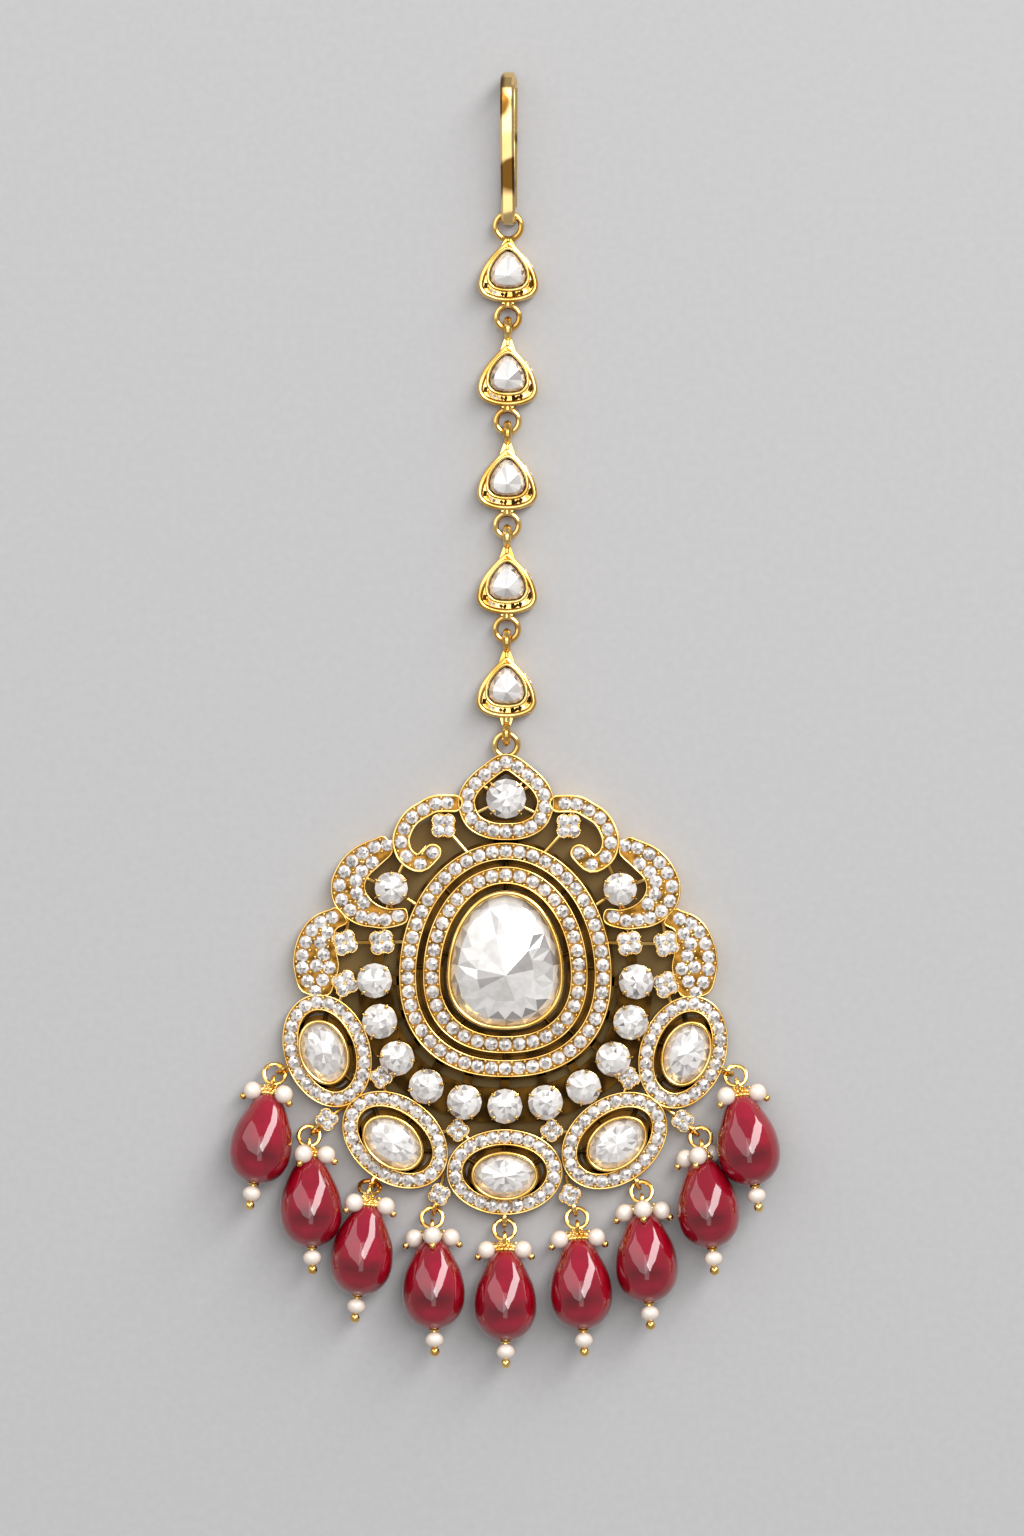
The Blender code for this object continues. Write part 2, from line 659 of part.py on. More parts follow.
def carrier(name):
    """Centre of what a drop hangs from, and its reach in a direction."""
    for oval, x, y, lean in OVALS:
        if oval == name:
            def reach(direction):
                local = Matrix.Rotation(-math.radians(lean), 2) @ direction
                short = OVAL_SHORT + HALO_ROW_WIDTH / 2
                long = OVAL_LONG + HALO_ROW_WIDTH / 2
                return 1 / math.hypot(local.x / short, local.y / long)
            return share_point(x, y), reach
    flower, side = name.rsplit("_", 1)
    x, y, large = FLOWERS[flower]
    sign = -1 if side == "left" else 1
    return share_point(sign * x, y), lambda direction: flower_radius(large)


def drop_frames():
    """For each drop: place of its jump ring, turn of the frame's eye, and place of its bead."""
    fat_offset = BEAD_FAT_SHARE * (BEAD_TOP + BEAD_BOTTOM) - BEAD_TOP
    frames = []
    for name, lean, swing, tilt, sprig in DROPS:
        centre, reach = carrier(name)
        direction = Vector((math.sin(math.radians(lean)), -math.cos(math.radians(lean))))
        tilt = math.radians(tilt)
        clear = JUMP_RADIUS * math.cos(tilt) + JUMP_WIRE + LINK_GAP + FLOOR_CLEARANCE
        ring = centre + direction * (reach(direction) + clear)
        eye_height = DROP_EYE_MIDDLE + 2 * JUMP_RADIUS * math.sin(tilt)
        pitch = math.asin((BEAD_RADIUS - eye_height) / (fat_offset + PIN_EYE_REACH))
        bead_height = BEAD_RADIUS / math.cos(pitch) + FLOOR_CLEARANCE - fat_offset * math.sin(pitch)
        ring_height = bead_height - PIN_EYE_REACH * math.sin(pitch) - JUMP_RADIUS * math.sin(tilt)
        turn = Matrix.Rotation(math.radians(swing), 4, "Z")
        ring_frame = Matrix.Translation((ring.x, ring.y, ring_height)) @ turn
        ring_frame = ring_frame @ Matrix.Rotation(-tilt, 4, "X")
        back = centre - ring
        eye_turn = math.atan2(back.y, back.x) - math.pi / 2 - math.radians(swing)
        hang = JUMP_RADIUS * math.cos(tilt) + PIN_EYE_REACH * math.cos(pitch)
        bead = ring + (turn.to_3x3() @ Vector((0, -hang, 0))).to_2d()
        bead_frame = Matrix.Translation((bead.x, bead.y, bead_height)) @ turn
        bead_frame = bead_frame @ Matrix.Rotation(-pitch, 4, "X")
        frames.append((ring_frame, eye_turn, bead_frame, sprig))
    return frames


def eye_radius():
    """Wire line radius of the eyes that the jump rings run through."""
    return JUMP_WIRE + LINK_GAP + EYE_WIRE


def upright(matrix, along):
    """Frame of a loop standing on edge, its centre at a distance along the matrix's own Y."""
    return matrix @ Matrix.Translation((0, along, 0)) @ Matrix.Rotation(math.pi / 2, 4, "Y")


def drop_eyes(scrap):
    pieces = []
    for ring_frame, eye_turn, _, _ in drop_frames():
        turned = ring_frame @ Matrix.Rotation(eye_turn, 4, "Z")
        pieces.append(hoop(eye_radius(), EYE_WIRE, upright(turned, JUMP_RADIUS), scrap))
    return pieces


def medallion(home, scrap, gold, crystal):
    pieces = egg_rings(scrap)
    pieces += top_halo(scrap)
    ring = Matrix.Translation((0, top_ring_middle(), LINK_MIDDLE))
    pieces.append(hoop(LINK_RING_OUTER - LINK_WIRE, LINK_WIRE, ring, scrap))
    pieces += scrolls_and_petals(scrap)
    pieces += flowers(scrap)
    pieces += claw_seats(scrap)
    pieces += struts(scrap)
    pieces += oval_halos(scrap)
    pieces += drop_eyes(scrap)
    fuse("medallion_frame", pieces, home, gold)

    seat = BAND_HEIGHT + STONE_GAP
    loop = egg_loop(centre_bezel_inner() - STONE_GAP, 16)
    cut_stone("centre_stone", loop, CENTRE_FLOOR + STONE_GAP, CENTRE_STONE_HEIGHT, home, crystal,
              CENTRE_TABLE_SHARE)
    loop = circle(0, TOP_STONE_Y, TOP_STONE_RADIUS, 12)
    cut_stone("top_stone", loop, seat, CLAW_STONE_HEIGHT, home, crystal)
    x, y = petal_stone_place()
    for side, name in ((-1, "petal_stone_left"), (1, "petal_stone_right")):
        loop = circle(side * x, y, PETAL_STONE_RADIUS, STONE_SIDES)
        cut_stone(name, loop, seat, CLAW_STONE_HEIGHT, home, crystal)
    for number, place in enumerate(round_stone_places(), 1):
        loop = circle(place.x, place.y, ROUND_STONE_RADIUS, STONE_SIDES)
        cut_stone(f"round_stone_{number:02d}", loop, seat, CLAW_STONE_HEIGHT, home, crystal)
    for name, x, y, lean in OVALS:
        frame = oval_frame(x, y, lean)
        wall = oval_loop(frame, OVAL_BEZEL_SHORT, OVAL_BEZEL_LONG, BEZEL_SIDES, outward_shift(frame))
        loop = inset(wall, OVAL_BEZEL_WALL + STONE_GAP)
        cut_stone(name, loop, OVAL_FLOOR + STONE_GAP, OVAL_STONE_HEIGHT, home, crystal)


def loop_radius():
    """Wire line radius of the upright loops that run through the flat rings."""
    return LINK_WIRE + LINK_GAP + LINK_WIRE


def tray_tops():
    """Top of each link's tray, from the hook down to the medallion."""
    ring_radius = LINK_RING_OUTER - LINK_WIRE
    last_bottom = top_ring_middle() + ring_radius + loop_radius() + LINK_WIRE / 2 + LAST_LINK_SPACE
    last_top = last_bottom + TRAY_LENGTH
    pitch = TRAY_LENGTH + TRAY_TO_LOOP + TRAY_TO_RING
    return [last_top + (CHAIN_LINKS - 1 - number) * pitch for number in range(CHAIN_LINKS)]


def hook_ring_middle():
    return tray_tops()[0] + HOOK_RING_OUTER - LINK_WIRE / 2


def chain(home, scrap, gold, crystal):
    ring_radius = LINK_RING_OUTER - LINK_WIRE
    for number, top in enumerate(tray_tops(), 1):
        outer = shield_loop(TRAY_OUTLINE, top, TRAY_HALF_WIDTH, TRAY_LENGTH)
        inner = inset(outer, TRAY_RIM)
        tip = top - TRAY_BEZEL_TOP
        wall = shield_loop(STONE_OUTLINE, tip, TRAY_BEZEL_HALF_WIDTH, TRAY_BEZEL_LENGTH)
        inside = inset(wall, TRAY_BEZEL_WALL)
        pieces = [
            plate([outer, inner], 0, TRAY_HEIGHT, scrap),
            plate([inset(outer, TRAY_RIM / 2)], 0, TRAY_FLOOR, scrap),
            plate([wall, inside], 0, TRAY_BEZEL_HEIGHT, scrap),
        ]
        bottom = top - TRAY_LENGTH
        if number == 1:
            middle = hook_ring_middle()
            place = Matrix.Translation((0, middle, LINK_MIDDLE))
            pieces.append(hoop(HOOK_RING_OUTER - LINK_WIRE, LINK_WIRE, place, scrap))
            reach = middle - HOOK_RING_OUTER + LINK_WIRE
            pieces.append(rod((0, reach, LINK_MIDDLE), (0, tip, LINK_MIDDLE), LINK_NECK, scrap))
        else:
            middle = top + TRAY_TO_LOOP - ring_radius
            place = Matrix.Translation((0, middle, LINK_MIDDLE)) @ Matrix.Rotation(math.pi / 2, 4, "Y")
            pieces.append(hoop(loop_radius(), LINK_WIRE, place, scrap))
            reach = middle - loop_radius()
            pieces.append(rod((0, reach, LINK_MIDDLE), (0, tip, LINK_MIDDLE), LINK_NECK, scrap))
        if number == CHAIN_LINKS:
            middle = top_ring_middle() + ring_radius
            place = Matrix.Translation((0, middle, LINK_MIDDLE)) @ Matrix.Rotation(math.pi / 2, 4, "Y")
            pieces.append(hoop(loop_radius(), LINK_WIRE, place, scrap))
            reach = middle + loop_radius()
        else:
            middle = bottom - TRAY_TO_RING
            place = Matrix.Translation((0, middle, LINK_MIDDLE))
            pieces.append(hoop(ring_radius, LINK_WIRE, place, scrap))
            reach = middle + ring_radius
        pieces.append(rod((0, reach, LINK_MIDDLE), (0, bottom + TRAY_RIM, LINK_MIDDLE), LINK_NECK, scrap))
        fuse(f"chain_setting_{number}", pieces, home, gold)
        loop = inset(inside, STONE_GAP)
        cut_stone(f"chain_stone_{number}", loop, TRAY_FLOOR + STONE_GAP, TRAY_STONE_HEIGHT, home, crystal)


def hook(home, gold):
    """Flat band bent like a hairpin: its side outline is drawn in Y and Z and given its width in X."""
    half = HOOK_THICKNESS / 2
    ring = hook_ring_middle()
    inner = HOOK_RING_OUTER - 2 * LINK_WIRE
    under = LINK_MIDDLE - LINK_WIRE - LINK_GAP - half
    over = LINK_MIDDLE + LINK_WIRE + LINK_GAP + half
    dip = ring + inner - LINK_GAP - half
    top = ring + HOOK_LENGTH
    high = HOOK_INNER_GAP + 1.5 * HOOK_THICKNESS
    bend = (high - half) / 2
    tip_end = ring + HOOK_RING_OUTER - HOOK_END_SPACE
    route = [Vector((tip_end, under))]
    for along, rise in HOOK_CURL_LOW:
        route.append(Vector((dip + along * HOOK_THICKNESS, under + rise * HOOK_THICKNESS)))
    route.append(Vector((dip, LINK_MIDDLE)))
    for along, rise in HOOK_CURL_HIGH:
        route.append(Vector((dip + along * HOOK_THICKNESS, over + rise * HOOK_THICKNESS)))
    straight = top - half - bend
    for share in HOOK_RISE_SHARES:
        reach = tip_end + share * (straight - tip_end)
        rise = over + (high - over) * math.sin(share * math.pi / 2)
        route.append(Vector((reach, rise)))
    for step in range(1, HOOK_BEND_STEPS):
        turn = math.pi / 2 - step * math.pi / HOOK_BEND_STEPS
        route.append(Vector((straight + bend * math.cos(turn), half + bend + bend * math.sin(turn))))
    route.append(Vector((straight, half)))
    route.append(Vector((tip_end + HOOK_TIP_SPACE, half)))
    outline = sideways(route, half) + list(reversed(sideways(route, -half)))
    side = Matrix(((0, 0, 1, 0), (1, 0, 0, 0), (0, 1, 0, 0), (0, 0, 0, 1)))
    item = plate([outline], -HOOK_WIDTH / 2, HOOK_WIDTH / 2, home)
    item.data.transform(side)
    item.name = "hook"
    item.data.name = "hook"
    item.data.materials.append(gold)


def bead_mesh(material):
    """Drilled teardrop, turned about its bore, its narrow end along +Y."""
    bm = bmesh.new()
    length = BEAD_TOP + BEAD_BOTTOM
    profile = [(max(radius * BEAD_RADIUS, BEAD_BORE), BEAD_TOP - depth * length)
               for radius, depth in BEAD_PROFILE]
    profile[0] = (profile[0][0] + STONE_GAP / 2, profile[0][1])
    profile[-1] = (profile[-1][0] + STONE_GAP / 2, profile[-1][1])
    profile += [(BEAD_BORE, profile[-1][1]), (BEAD_BORE, profile[0][1])]
    verts = [bm.verts.new((radius, 0, height)) for radius, height in profile]
    for first, second in zip(verts, verts[1:] + verts[:1]):
        bm.edges.new((first, second))
    bmesh.ops.spin(bm, geom=bm.verts[:] + bm.edges[:], cent=(0, 0, 0), axis=(0, 0, 1), dvec=(0, 0, 0),
                   angle=2 * math.pi, steps=BEAD_SIDES, use_merge=True)
    bmesh.ops.remove_doubles(bm, verts=bm.verts, dist=1e-7)
    bmesh.ops.recalc_face_normals(bm, faces=bm.faces)
    bm.transform(Matrix.Rotation(-math.pi / 2, 4, "X"))
    mesh = mesh_from(bm, "drop_bead")
    mesh.materials.append(material)
    return mesh


def pin_mesh(sprig, scrap, gold):
    """Headpin with its eye, neck pearls, end pearl and end ball."""
    eye_bottom = PIN_EYE_REACH - eye_radius()
    wrap_low = BEAD_TOP + STONE_GAP
    end_pearl = -(BEAD_BOTTOM + STONE_GAP + END_PEARL_RADIUS * END_PEARL_SQUASH)
    end_ball = end_pearl - END_PEARL_RADIUS * END_PEARL_SQUASH - END_BALL_RADIUS * END_BALL_REACH
    ring_middle = PIN_EYE_REACH + JUMP_RADIUS
    pieces = [
        hoop(eye_radius(), EYE_WIRE, upright(Matrix.Identity(4), PIN_EYE_REACH), scrap),
        rod((0, eye_bottom, 0), (0, end_pearl, 0), PIN_WIRE, scrap),
        ball((0, end_pearl, 0), END_PEARL_RADIUS, scrap, squash=END_PEARL_SQUASH),
        ball((0, end_ball, 0), END_BALL_RADIUS, scrap, sides=6),
    ]
    for side, down, out in SPRIGS[sprig]:
        place = (side * NECK_PEARL_SIDE, ring_middle - down * NECK_PEARL_DROP, out * NECK_PEARL_SIDE)
        pieces.append(ball(place, NECK_PEARL_RADIUS, scrap))
        pieces.append(rod((0, (wrap_low + eye_bottom) / 2, 0), place, EYE_WIRE, scrap, sides=5))
    item = fuse("pin", pieces, scrap, gold)
    mesh = item.data
    bpy.data.objects.remove(item, do_unlink=True)
    return mesh


def drops(home, scrap, gold, red):
    ring_item = hoop(JUMP_RADIUS, JUMP_WIRE, Matrix.Identity(4), scrap)
    ring_mesh = ring_item.data
    bpy.data.objects.remove(ring_item, do_unlink=True)
    ring_mesh.materials.append(gold)
    bead = bead_mesh(red)
    pins = {sprig: pin_mesh(sprig, scrap, gold) for sprig in SPRIGS}
    for number, (ring_frame, _, bead_frame, sprig) in enumerate(drop_frames(), 1):
        for name, mesh, frame in (("drop_ring", ring_mesh, ring_frame), ("drop_pin", pins[sprig], bead_frame),
                                  ("drop_bead", bead, bead_frame)):
            item = new_object(f"{name}_{number}", mesh, home)
            item.matrix_world = frame


def main():
    clear_scene()
    home = bpy.data.collections.new("maang_tikka")
    scrap = bpy.data.collections.new("pieces_to_join")
    bpy.context.scene.collection.children.link(home)
    bpy.context.scene.collection.children.link(scrap)
    gold = make_material("gold_plated_brass", (0.83, 0.58, 0.22), 0.18, 1.0)
    crystal = make_material("foil_backed_crystal", (0.86, 0.85, 0.85), 0.05, 0.0)
    red = make_material("ruby_red_glass", (0.36, 0.01, 0.05), 0.05, 0.0)
    hook(home, gold)
    chain(home, scrap, gold, crystal)
    medallion(home, scrap, gold, crystal)
    drops(home, scrap, gold, red)
    bpy.data.collections.remove(scrap)


main()
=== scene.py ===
"""Looks of the maang tikka: smooth gold settings with pave rows, cut stones, wire-wrapped red glass drops.

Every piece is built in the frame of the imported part: metres, +Z up, +Y towards the hook.
"""
import math
import random

import bmesh
import bpy
from mathutils import Matrix, Vector


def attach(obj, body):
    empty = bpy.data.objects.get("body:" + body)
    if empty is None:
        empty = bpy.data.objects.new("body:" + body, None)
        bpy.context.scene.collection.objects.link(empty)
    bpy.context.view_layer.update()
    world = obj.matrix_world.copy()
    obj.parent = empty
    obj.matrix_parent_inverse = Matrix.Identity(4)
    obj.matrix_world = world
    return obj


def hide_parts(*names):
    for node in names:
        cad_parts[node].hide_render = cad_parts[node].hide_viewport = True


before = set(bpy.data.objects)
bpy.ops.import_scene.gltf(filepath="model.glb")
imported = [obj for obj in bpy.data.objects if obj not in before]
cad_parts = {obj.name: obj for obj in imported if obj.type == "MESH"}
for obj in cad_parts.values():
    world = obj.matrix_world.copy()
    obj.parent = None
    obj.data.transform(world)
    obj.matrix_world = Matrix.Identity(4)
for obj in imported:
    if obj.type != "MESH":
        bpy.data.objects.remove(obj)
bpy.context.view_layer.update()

MM = 0.001
SCENE = bpy.context.scene

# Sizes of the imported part
STONE_GAP = 0.3 * MM
LINK_GAP = 0.3 * MM
BAND_HEIGHT = 2.4 * MM
LINK_MIDDLE = 1.4 * MM
DROP_EYE_MIDDLE = 1.35 * MM
SPREAD = 25.3 * MM
ROW_WIDTH = 2.06 * MM
HALO_ROW_WIDTH = 1.92 * MM
RING_SPACE = 0.8 * MM
EGG_CENTRE_Y = -0.0664 * SPREAD
EGG_HALF_WIDTH = 0.4625 * SPREAD
EGG_UP = 0.589 * SPREAD
EGG_DOWN = 0.4403 * SPREAD
EGG_FOOT_POWER = 2.3
CENTRE_BEZEL_HEIGHT = 4.2 * MM
CENTRE_BEZEL_WALL = 0.54 * MM
CENTRE_FLOOR = 2.0 * MM
CENTRE_STONE_HEIGHT = 2.7 * MM
TOP_HALO_Y = 0.7494 * SPREAD
TOP_HALO_HALF_WIDTH = 0.1874 * SPREAD
TOP_HALO_UP = 0.1945 * SPREAD
TOP_HALO_DOWN = 0.1348 * SPREAD
TOP_STONE_RADIUS = 2.4 * MM
TOP_STONE_Y = TOP_HALO_Y + 0.54 * MM
ROUND_STONE_RADIUS = 2.1 * MM
ROUND_STONE_SPACE = 0.68 * MM
ROUND_ROW_OFFSET = 3.95 * MM
ROUND_ROW_DROP = EGG_DOWN + 4.48 * MM
ROUND_STONES = 11
PETAL_STONE_RADIUS = 2.0 * MM
CLAW_STONE_HEIGHT = 1.3 * MM
OVAL_LONG = 6.0 * MM
OVAL_SHORT = 4.18 * MM
OVAL_BEZEL_LONG = 4.02 * MM
OVAL_BEZEL_SHORT = 2.96 * MM
OVAL_BEZEL_SHIFT = 0.42 * MM
OVAL_BEZEL_HEIGHT = 3.4 * MM
OVAL_BEZEL_WALL = 0.4 * MM
OVAL_FLOOR = 1.5 * MM
OVAL_STONE_HEIGHT = 2.1 * MM
FLOWER_RADIUS = 1.4 * MM
SMALL_FLOWER_RADIUS = 1.15 * MM
LINK_WIRE = 0.37 * MM
LINK_RING_OUTER = 1.74 * MM
HOOK_RING_OUTER = 1.92 * MM
TRAY_HALF_WIDTH = 3.6 * MM
TRAY_LENGTH = 7.4 * MM
TRAY_HEIGHT = 2.3 * MM
TRAY_FLOOR = 1.2 * MM
TRAY_RIM = 0.5 * MM
TRAY_BEZEL_HALF_WIDTH = 2.6 * MM
TRAY_BEZEL_LENGTH = 5.4 * MM
TRAY_BEZEL_TOP = 0.75 * MM
TRAY_BEZEL_HEIGHT = 2.9 * MM
TRAY_BEZEL_WALL = 0.38 * MM
TRAY_STONE_HEIGHT = 1.9 * MM
TRAY_TO_LOOP = 3.28 * MM
TRAY_TO_RING = 1.77 * MM
LAST_LINK_SPACE = 0.6 * MM
CHAIN_LINKS = 5
HOOK_WIDTH = 1.62 * MM
HOOK_THICKNESS = 0.8 * MM
HOOK_LENGTH = 18.4 * MM
HOOK_INNER_GAP = 3.2 * MM
HOOK_TIP_SPACE = 0.7 * MM
HOOK_END_SPACE = 0.2 * MM
JUMP_WIRE = 0.27 * MM
JUMP_RADIUS = 1.27 * MM
EYE_WIRE = 0.26 * MM
BEAD_RADIUS = 3.75 * MM
BEAD_TOP = 5.6 * MM
BEAD_BOTTOM = 5.1 * MM
BEAD_BORE = 0.64 * MM
PIN_WIRE = 0.33 * MM
PIN_EYE_REACH = 7.07 * MM
NECK_PEARL_RADIUS = 1.13 * MM
NECK_PEARL_SIDE = 2.2 * MM
NECK_PEARL_DROP = 2.5 * MM
END_PEARL_RADIUS = 1.13 * MM
END_PEARL_SQUASH = 0.86
END_BALL_RADIUS = 0.58 * MM
FLOOR_CLEARANCE = 0.02 * MM

# Sizes that follow from those
EYE_RADIUS = JUMP_WIRE + LINK_GAP + EYE_WIRE
LOOP_RADIUS = LINK_WIRE + LINK_GAP + LINK_WIRE
RING_RADIUS = LINK_RING_OUTER - LINK_WIRE
INNER_ROW = -(ROW_WIDTH + RING_SPACE)
CENTRE_BEZEL = INNER_ROW - ROW_WIDTH / 2 - RING_SPACE
HOOK_RING_RADIUS = HOOK_RING_OUTER - LINK_WIRE
TOP_RING_Y = TOP_HALO_Y + TOP_HALO_UP + ROW_WIDTH / 2 + LINK_RING_OUTER - 2 * LINK_WIRE
PETAL_STONE = Vector((0.541 * SPREAD, 0.344 * SPREAD))
CLAW_SEAT = BAND_HEIGHT + STONE_GAP
BEAD_LENGTH = BEAD_TOP + BEAD_BOTTOM
END_PEARL_Y = -(BEAD_BOTTOM + STONE_GAP + END_PEARL_RADIUS * END_PEARL_SQUASH)

# Fine work that only the looks have
RAIL = 0.19 * MM
RAIL_ROUND = RAIL * 0.36
CHANNEL_DEPTH = 0.5 * MM
PAVE_RADIUS = 0.8 * MM
PAVE_RISE = 0.42 * MM
PAVE_SEAT = BAND_HEIGHT - CHANNEL_DEPTH + 0.1 * MM
PRONG_RADIUS = 0.2 * MM
PRONG_SUNK = 0.16 * MM
FLOWER_PRONG = 0.14 * MM
TABLE_SHADE = 0.3
CLAW_WIRE = 0.2 * MM
OUTER_ROW_STONES = 48
INNER_ROW_STONES = 36
HALO_STONES = 22
TOP_HALO_STONES = 18
# Dark sheets of painted shade low in the gaps: how far they reach past a setting, and how high
SHADE_SHEET_GROW = 0.36 * MM
OVAL_SHADE_SHEET_GROW = 0.66 * MM
SHADE_SHEET_HEIGHT = 0.9 * MM
BAR_WIRE = 0.26 * MM
RING_BAR_HEIGHT = 1.3 * MM
OVAL_BAR_HEIGHT = 1.5 * MM
STRUT_WIRE = 0.24 * MM
STRUT_HEIGHT = 1.6 * MM
# Sheets of painted shade under the round stones and the neck: band width, lowest height, half widths of the
# spokes and the neck strip
SHADE_BAND_WIDTH = 4.2 * MM
SHADE_BAND_LOW = 0.1 * MM
SPOKE_HALF = 0.55 * MM
NECK_HALF = 1.5 * MM
FIT = 0.04 * MM
CENTRE_BEZEL_ROUND = 0.22 * MM
OVAL_BEZEL_ROUND = 0.17 * MM
TRAY_RIM_ROUND = 0.3 * MM
TRAY_BEZEL_ROUND = 0.16 * MM
CENTRE_GIRDLE = 0.9 * MM
OVAL_GIRDLE = 0.8 * MM
LINK_GIRDLE = 0.7 * MM
LOOP_WIRE = 0.49 * MM
NECK_WIRE = 0.46 * MM
CHIP = 0.44 * MM
CHIP_PLACES = 40
CHIP_ROW = 0.3 * MM
CHIP_HEIGHT = TRAY_FLOOR + 0.46 * MM
TRAY_BED = TRAY_FLOOR + 0.3 * MM
DARK_BED = TRAY_FLOOR + 0.38 * MM
RIM_HALF = TRAY_RIM / 2 + 0.09 * MM
LINK_STONE_SPACE = 0.1 * MM
HOOK_LEAN = 0.11
HOOK_CHAMFER = 0.26 * MM
WRAP_WIRE = 0.16 * MM
NECK_STRANDS = 9
NECK_TOP = BEAD_TOP + 1.2 * MM
NECK_FOOT = BEAD_TOP + 0.18 * MM
SPRIG_START = BEAD_TOP + 0.75 * MM
SPRIG_WIRE = 0.17 * MM
FINE_WIRE = 0.13 * MM
SPRIG_BALL = 0.43 * MM
# Reach of the painted shade on the card under the medallion
SHADE_REACH = 21.9 * MM
TOP_SHADE_REACH = 7.4 * MM
STEPS = 4
EGG_SIDES = 96
CAMERA_HEIGHT = 0.9
VIEW_WIDTH = 0.1843

# Routes and tables: x and y as shares of SPREAD, right half of the medallion
SCROLL = [(0.245, 0.747), (0.334, 0.745), (0.391, 0.717), (0.445, 0.681), (0.481, 0.626),
          (0.496, 0.563), (0.472, 0.496), (0.405, 0.462), (0.346, 0.514)]
PETAL_OUTER = [(0.565, 0.549), (0.609, 0.540), (0.679, 0.511), (0.728, 0.472), (0.764, 0.421),
               (0.787, 0.358), (0.777, 0.289), (0.737, 0.240), (0.683, 0.208), (0.628, 0.199),
               (0.570, 0.194), (0.480, 0.222)]
LOBE_OUTER = [(0.787, 0.211), (0.821, 0.205), (0.877, 0.183), (0.917, 0.144), (0.946, 0.088),
              (0.962, 0.025), (0.962, -0.034), (0.925, -0.134)]

# Inner edges of the petals and lobes, right half, in millimetres
PETAL_EDGE = [(13.5, 13.1), (14.95, 11.5), (16.5, 9.95), (16.75, 8.4), (15.7, 7.0), (14.0, 6.3), (12.0, 6.3)]
LOBE_EDGE = [(18.9, 4.6), (20.3, 3.6), (20.2, 1.2), (19.9, -0.7), (20.4, -2.7), (21.3, -4.2)]

# Stones of the scrolls and petals, right half, in millimetres
SCROLL_STONES = [(7.02, 18.94), (8.44, 18.85), (9.9, 18.14), (11.27, 17.22), (12.18, 15.84),
                 (12.56, 14.24), (11.93, 12.56), (10.25, 11.58), (8.76, 13.0)]
PETAL_OUTER_STONES = [(14.2, 13.95), (15.75, 13.67), (17.17, 12.92), (18.42, 11.95), (19.34, 10.66),
                      (19.91, 9.06), (19.66, 7.3), (18.64, 6.08), (17.28, 5.27), (15.88, 5.03),
                      (14.41, 4.92), (12.88, 5.42)]
PETAL_INNER_STONES = [(16.0, 11.75), (17.25, 10.75), (17.95, 9.6), (17.85, 8.1), (17.0, 6.95)]
LOBE_OUTER_STONES = [(20.78, 5.18), (22.18, 4.63), (23.21, 3.64), (23.94, 2.22), (24.34, 0.62),
                     (24.34, -0.86), (23.7, -2.44)]
LOBE_INNER_STONES = [(21.34, 3.4), (22.16, 2.2), (21.75, 0.73), (22.62, -0.6), (21.1, -0.8), (21.9, -2.3),
                     (22.8, -3.7)]

STONE_ROWS = (SCROLL_STONES, PETAL_OUTER_STONES, PETAL_INNER_STONES, LOBE_OUTER_STONES, LOBE_INNER_STONES)

# Small flowers: place and radius
FLOWERS = {
    "scroll": (0.296, 0.642, FLOWER_RADIUS),
    "inner": (0.586, 0.088, FLOWER_RADIUS),
    "outer": (0.761, 0.086, FLOWER_RADIUS),
    "lobe": (0.759, -0.107, FLOWER_RADIUS),
    "side_nook": (0.587, -0.550, SMALL_FLOWER_RADIUS),
    "low_nook": (0.222, -0.799, SMALL_FLOWER_RADIUS),
    "drop_side": (0.842, -0.751, SMALL_FLOWER_RADIUS),
    "drop_low": (0.309, -1.104, SMALL_FLOWER_RADIUS),
}

# Struts between the settings, from place to place
STRUTS = [
    (0.296, 0.642, 0.313, 0.725), (0.296, 0.642, 0.170, 0.500), (0.586, 0.088, 0.575, 0.190),
    (0.586, 0.088, 0.440, 0.092), (0.761, 0.086, 0.586, 0.088), (0.761, 0.086, 0.880, 0.088),
    (0.761, 0.086, 0.740, 0.225), (0.759, -0.107, 0.860, -0.100),
    (0.759, -0.107, 0.790, -0.215), (0.587, -0.550, 0.720, -0.540), (0.587, -0.550, 0.550, -0.670),
    (0.222, -0.799, 0.330, -0.810), (0.222, -0.799, 0.150, -0.860), (0.842, -0.751, 0.745, -0.680),
    (0.309, -1.104, 0.290, -1.010), (0.540, 0.344, 0.430, 0.270), (0.540, 0.344, 0.660, 0.390),
    (0.540, 0.344, 0.570, 0.210), (0.540, 0.344, 0.475, 0.480),
    (0.000, 0.771, 0.150, 0.850), (0.000, 0.771, 0.165, 0.690),
]

# Oval stones: place and lean in degrees
OVALS = [
    ("oval_stone_1", -0.842, -0.426, 20), ("oval_stone_2", -0.519, -0.845, 53),
    ("oval_stone_3", 0.0, -0.996, 90),
    ("oval_stone_4", 0.519, -0.845, -53), ("oval_stone_5", 0.842, -0.426, -20),
]
OVAL_STRUT_TURNS = (-62, 0, 62, 180)
OUTER_BARS = (90, 48, 132, 4, 176, -42, -138, -90)
INNER_BARS = (90, 14, 166, -50, -130)

# Drops: what each hangs from, lean, swing and tilt of its ring in degrees, its sprig of pearls
DROPS = [
    ("oval_stone_1", -66, -10.2, 22, "right_in"), ("drop_side_left", -47, 2.0, 22, "left_front"),
    ("oval_stone_2", -28, -6.0, 55, "left_in"), ("drop_low_left", -17, 1.5, 22, "three"),
    ("oval_stone_3", 0, 0.8, 22, "pair"),
    ("drop_low_right", 17, 3.4, 22, "pair"), ("oval_stone_4", 28, 4.0, 22, "three"),
    ("drop_side_right", 47, 6.0, 22, "right_behind"), ("oval_stone_5", 66, 9.9, 22, "left_in"),
]

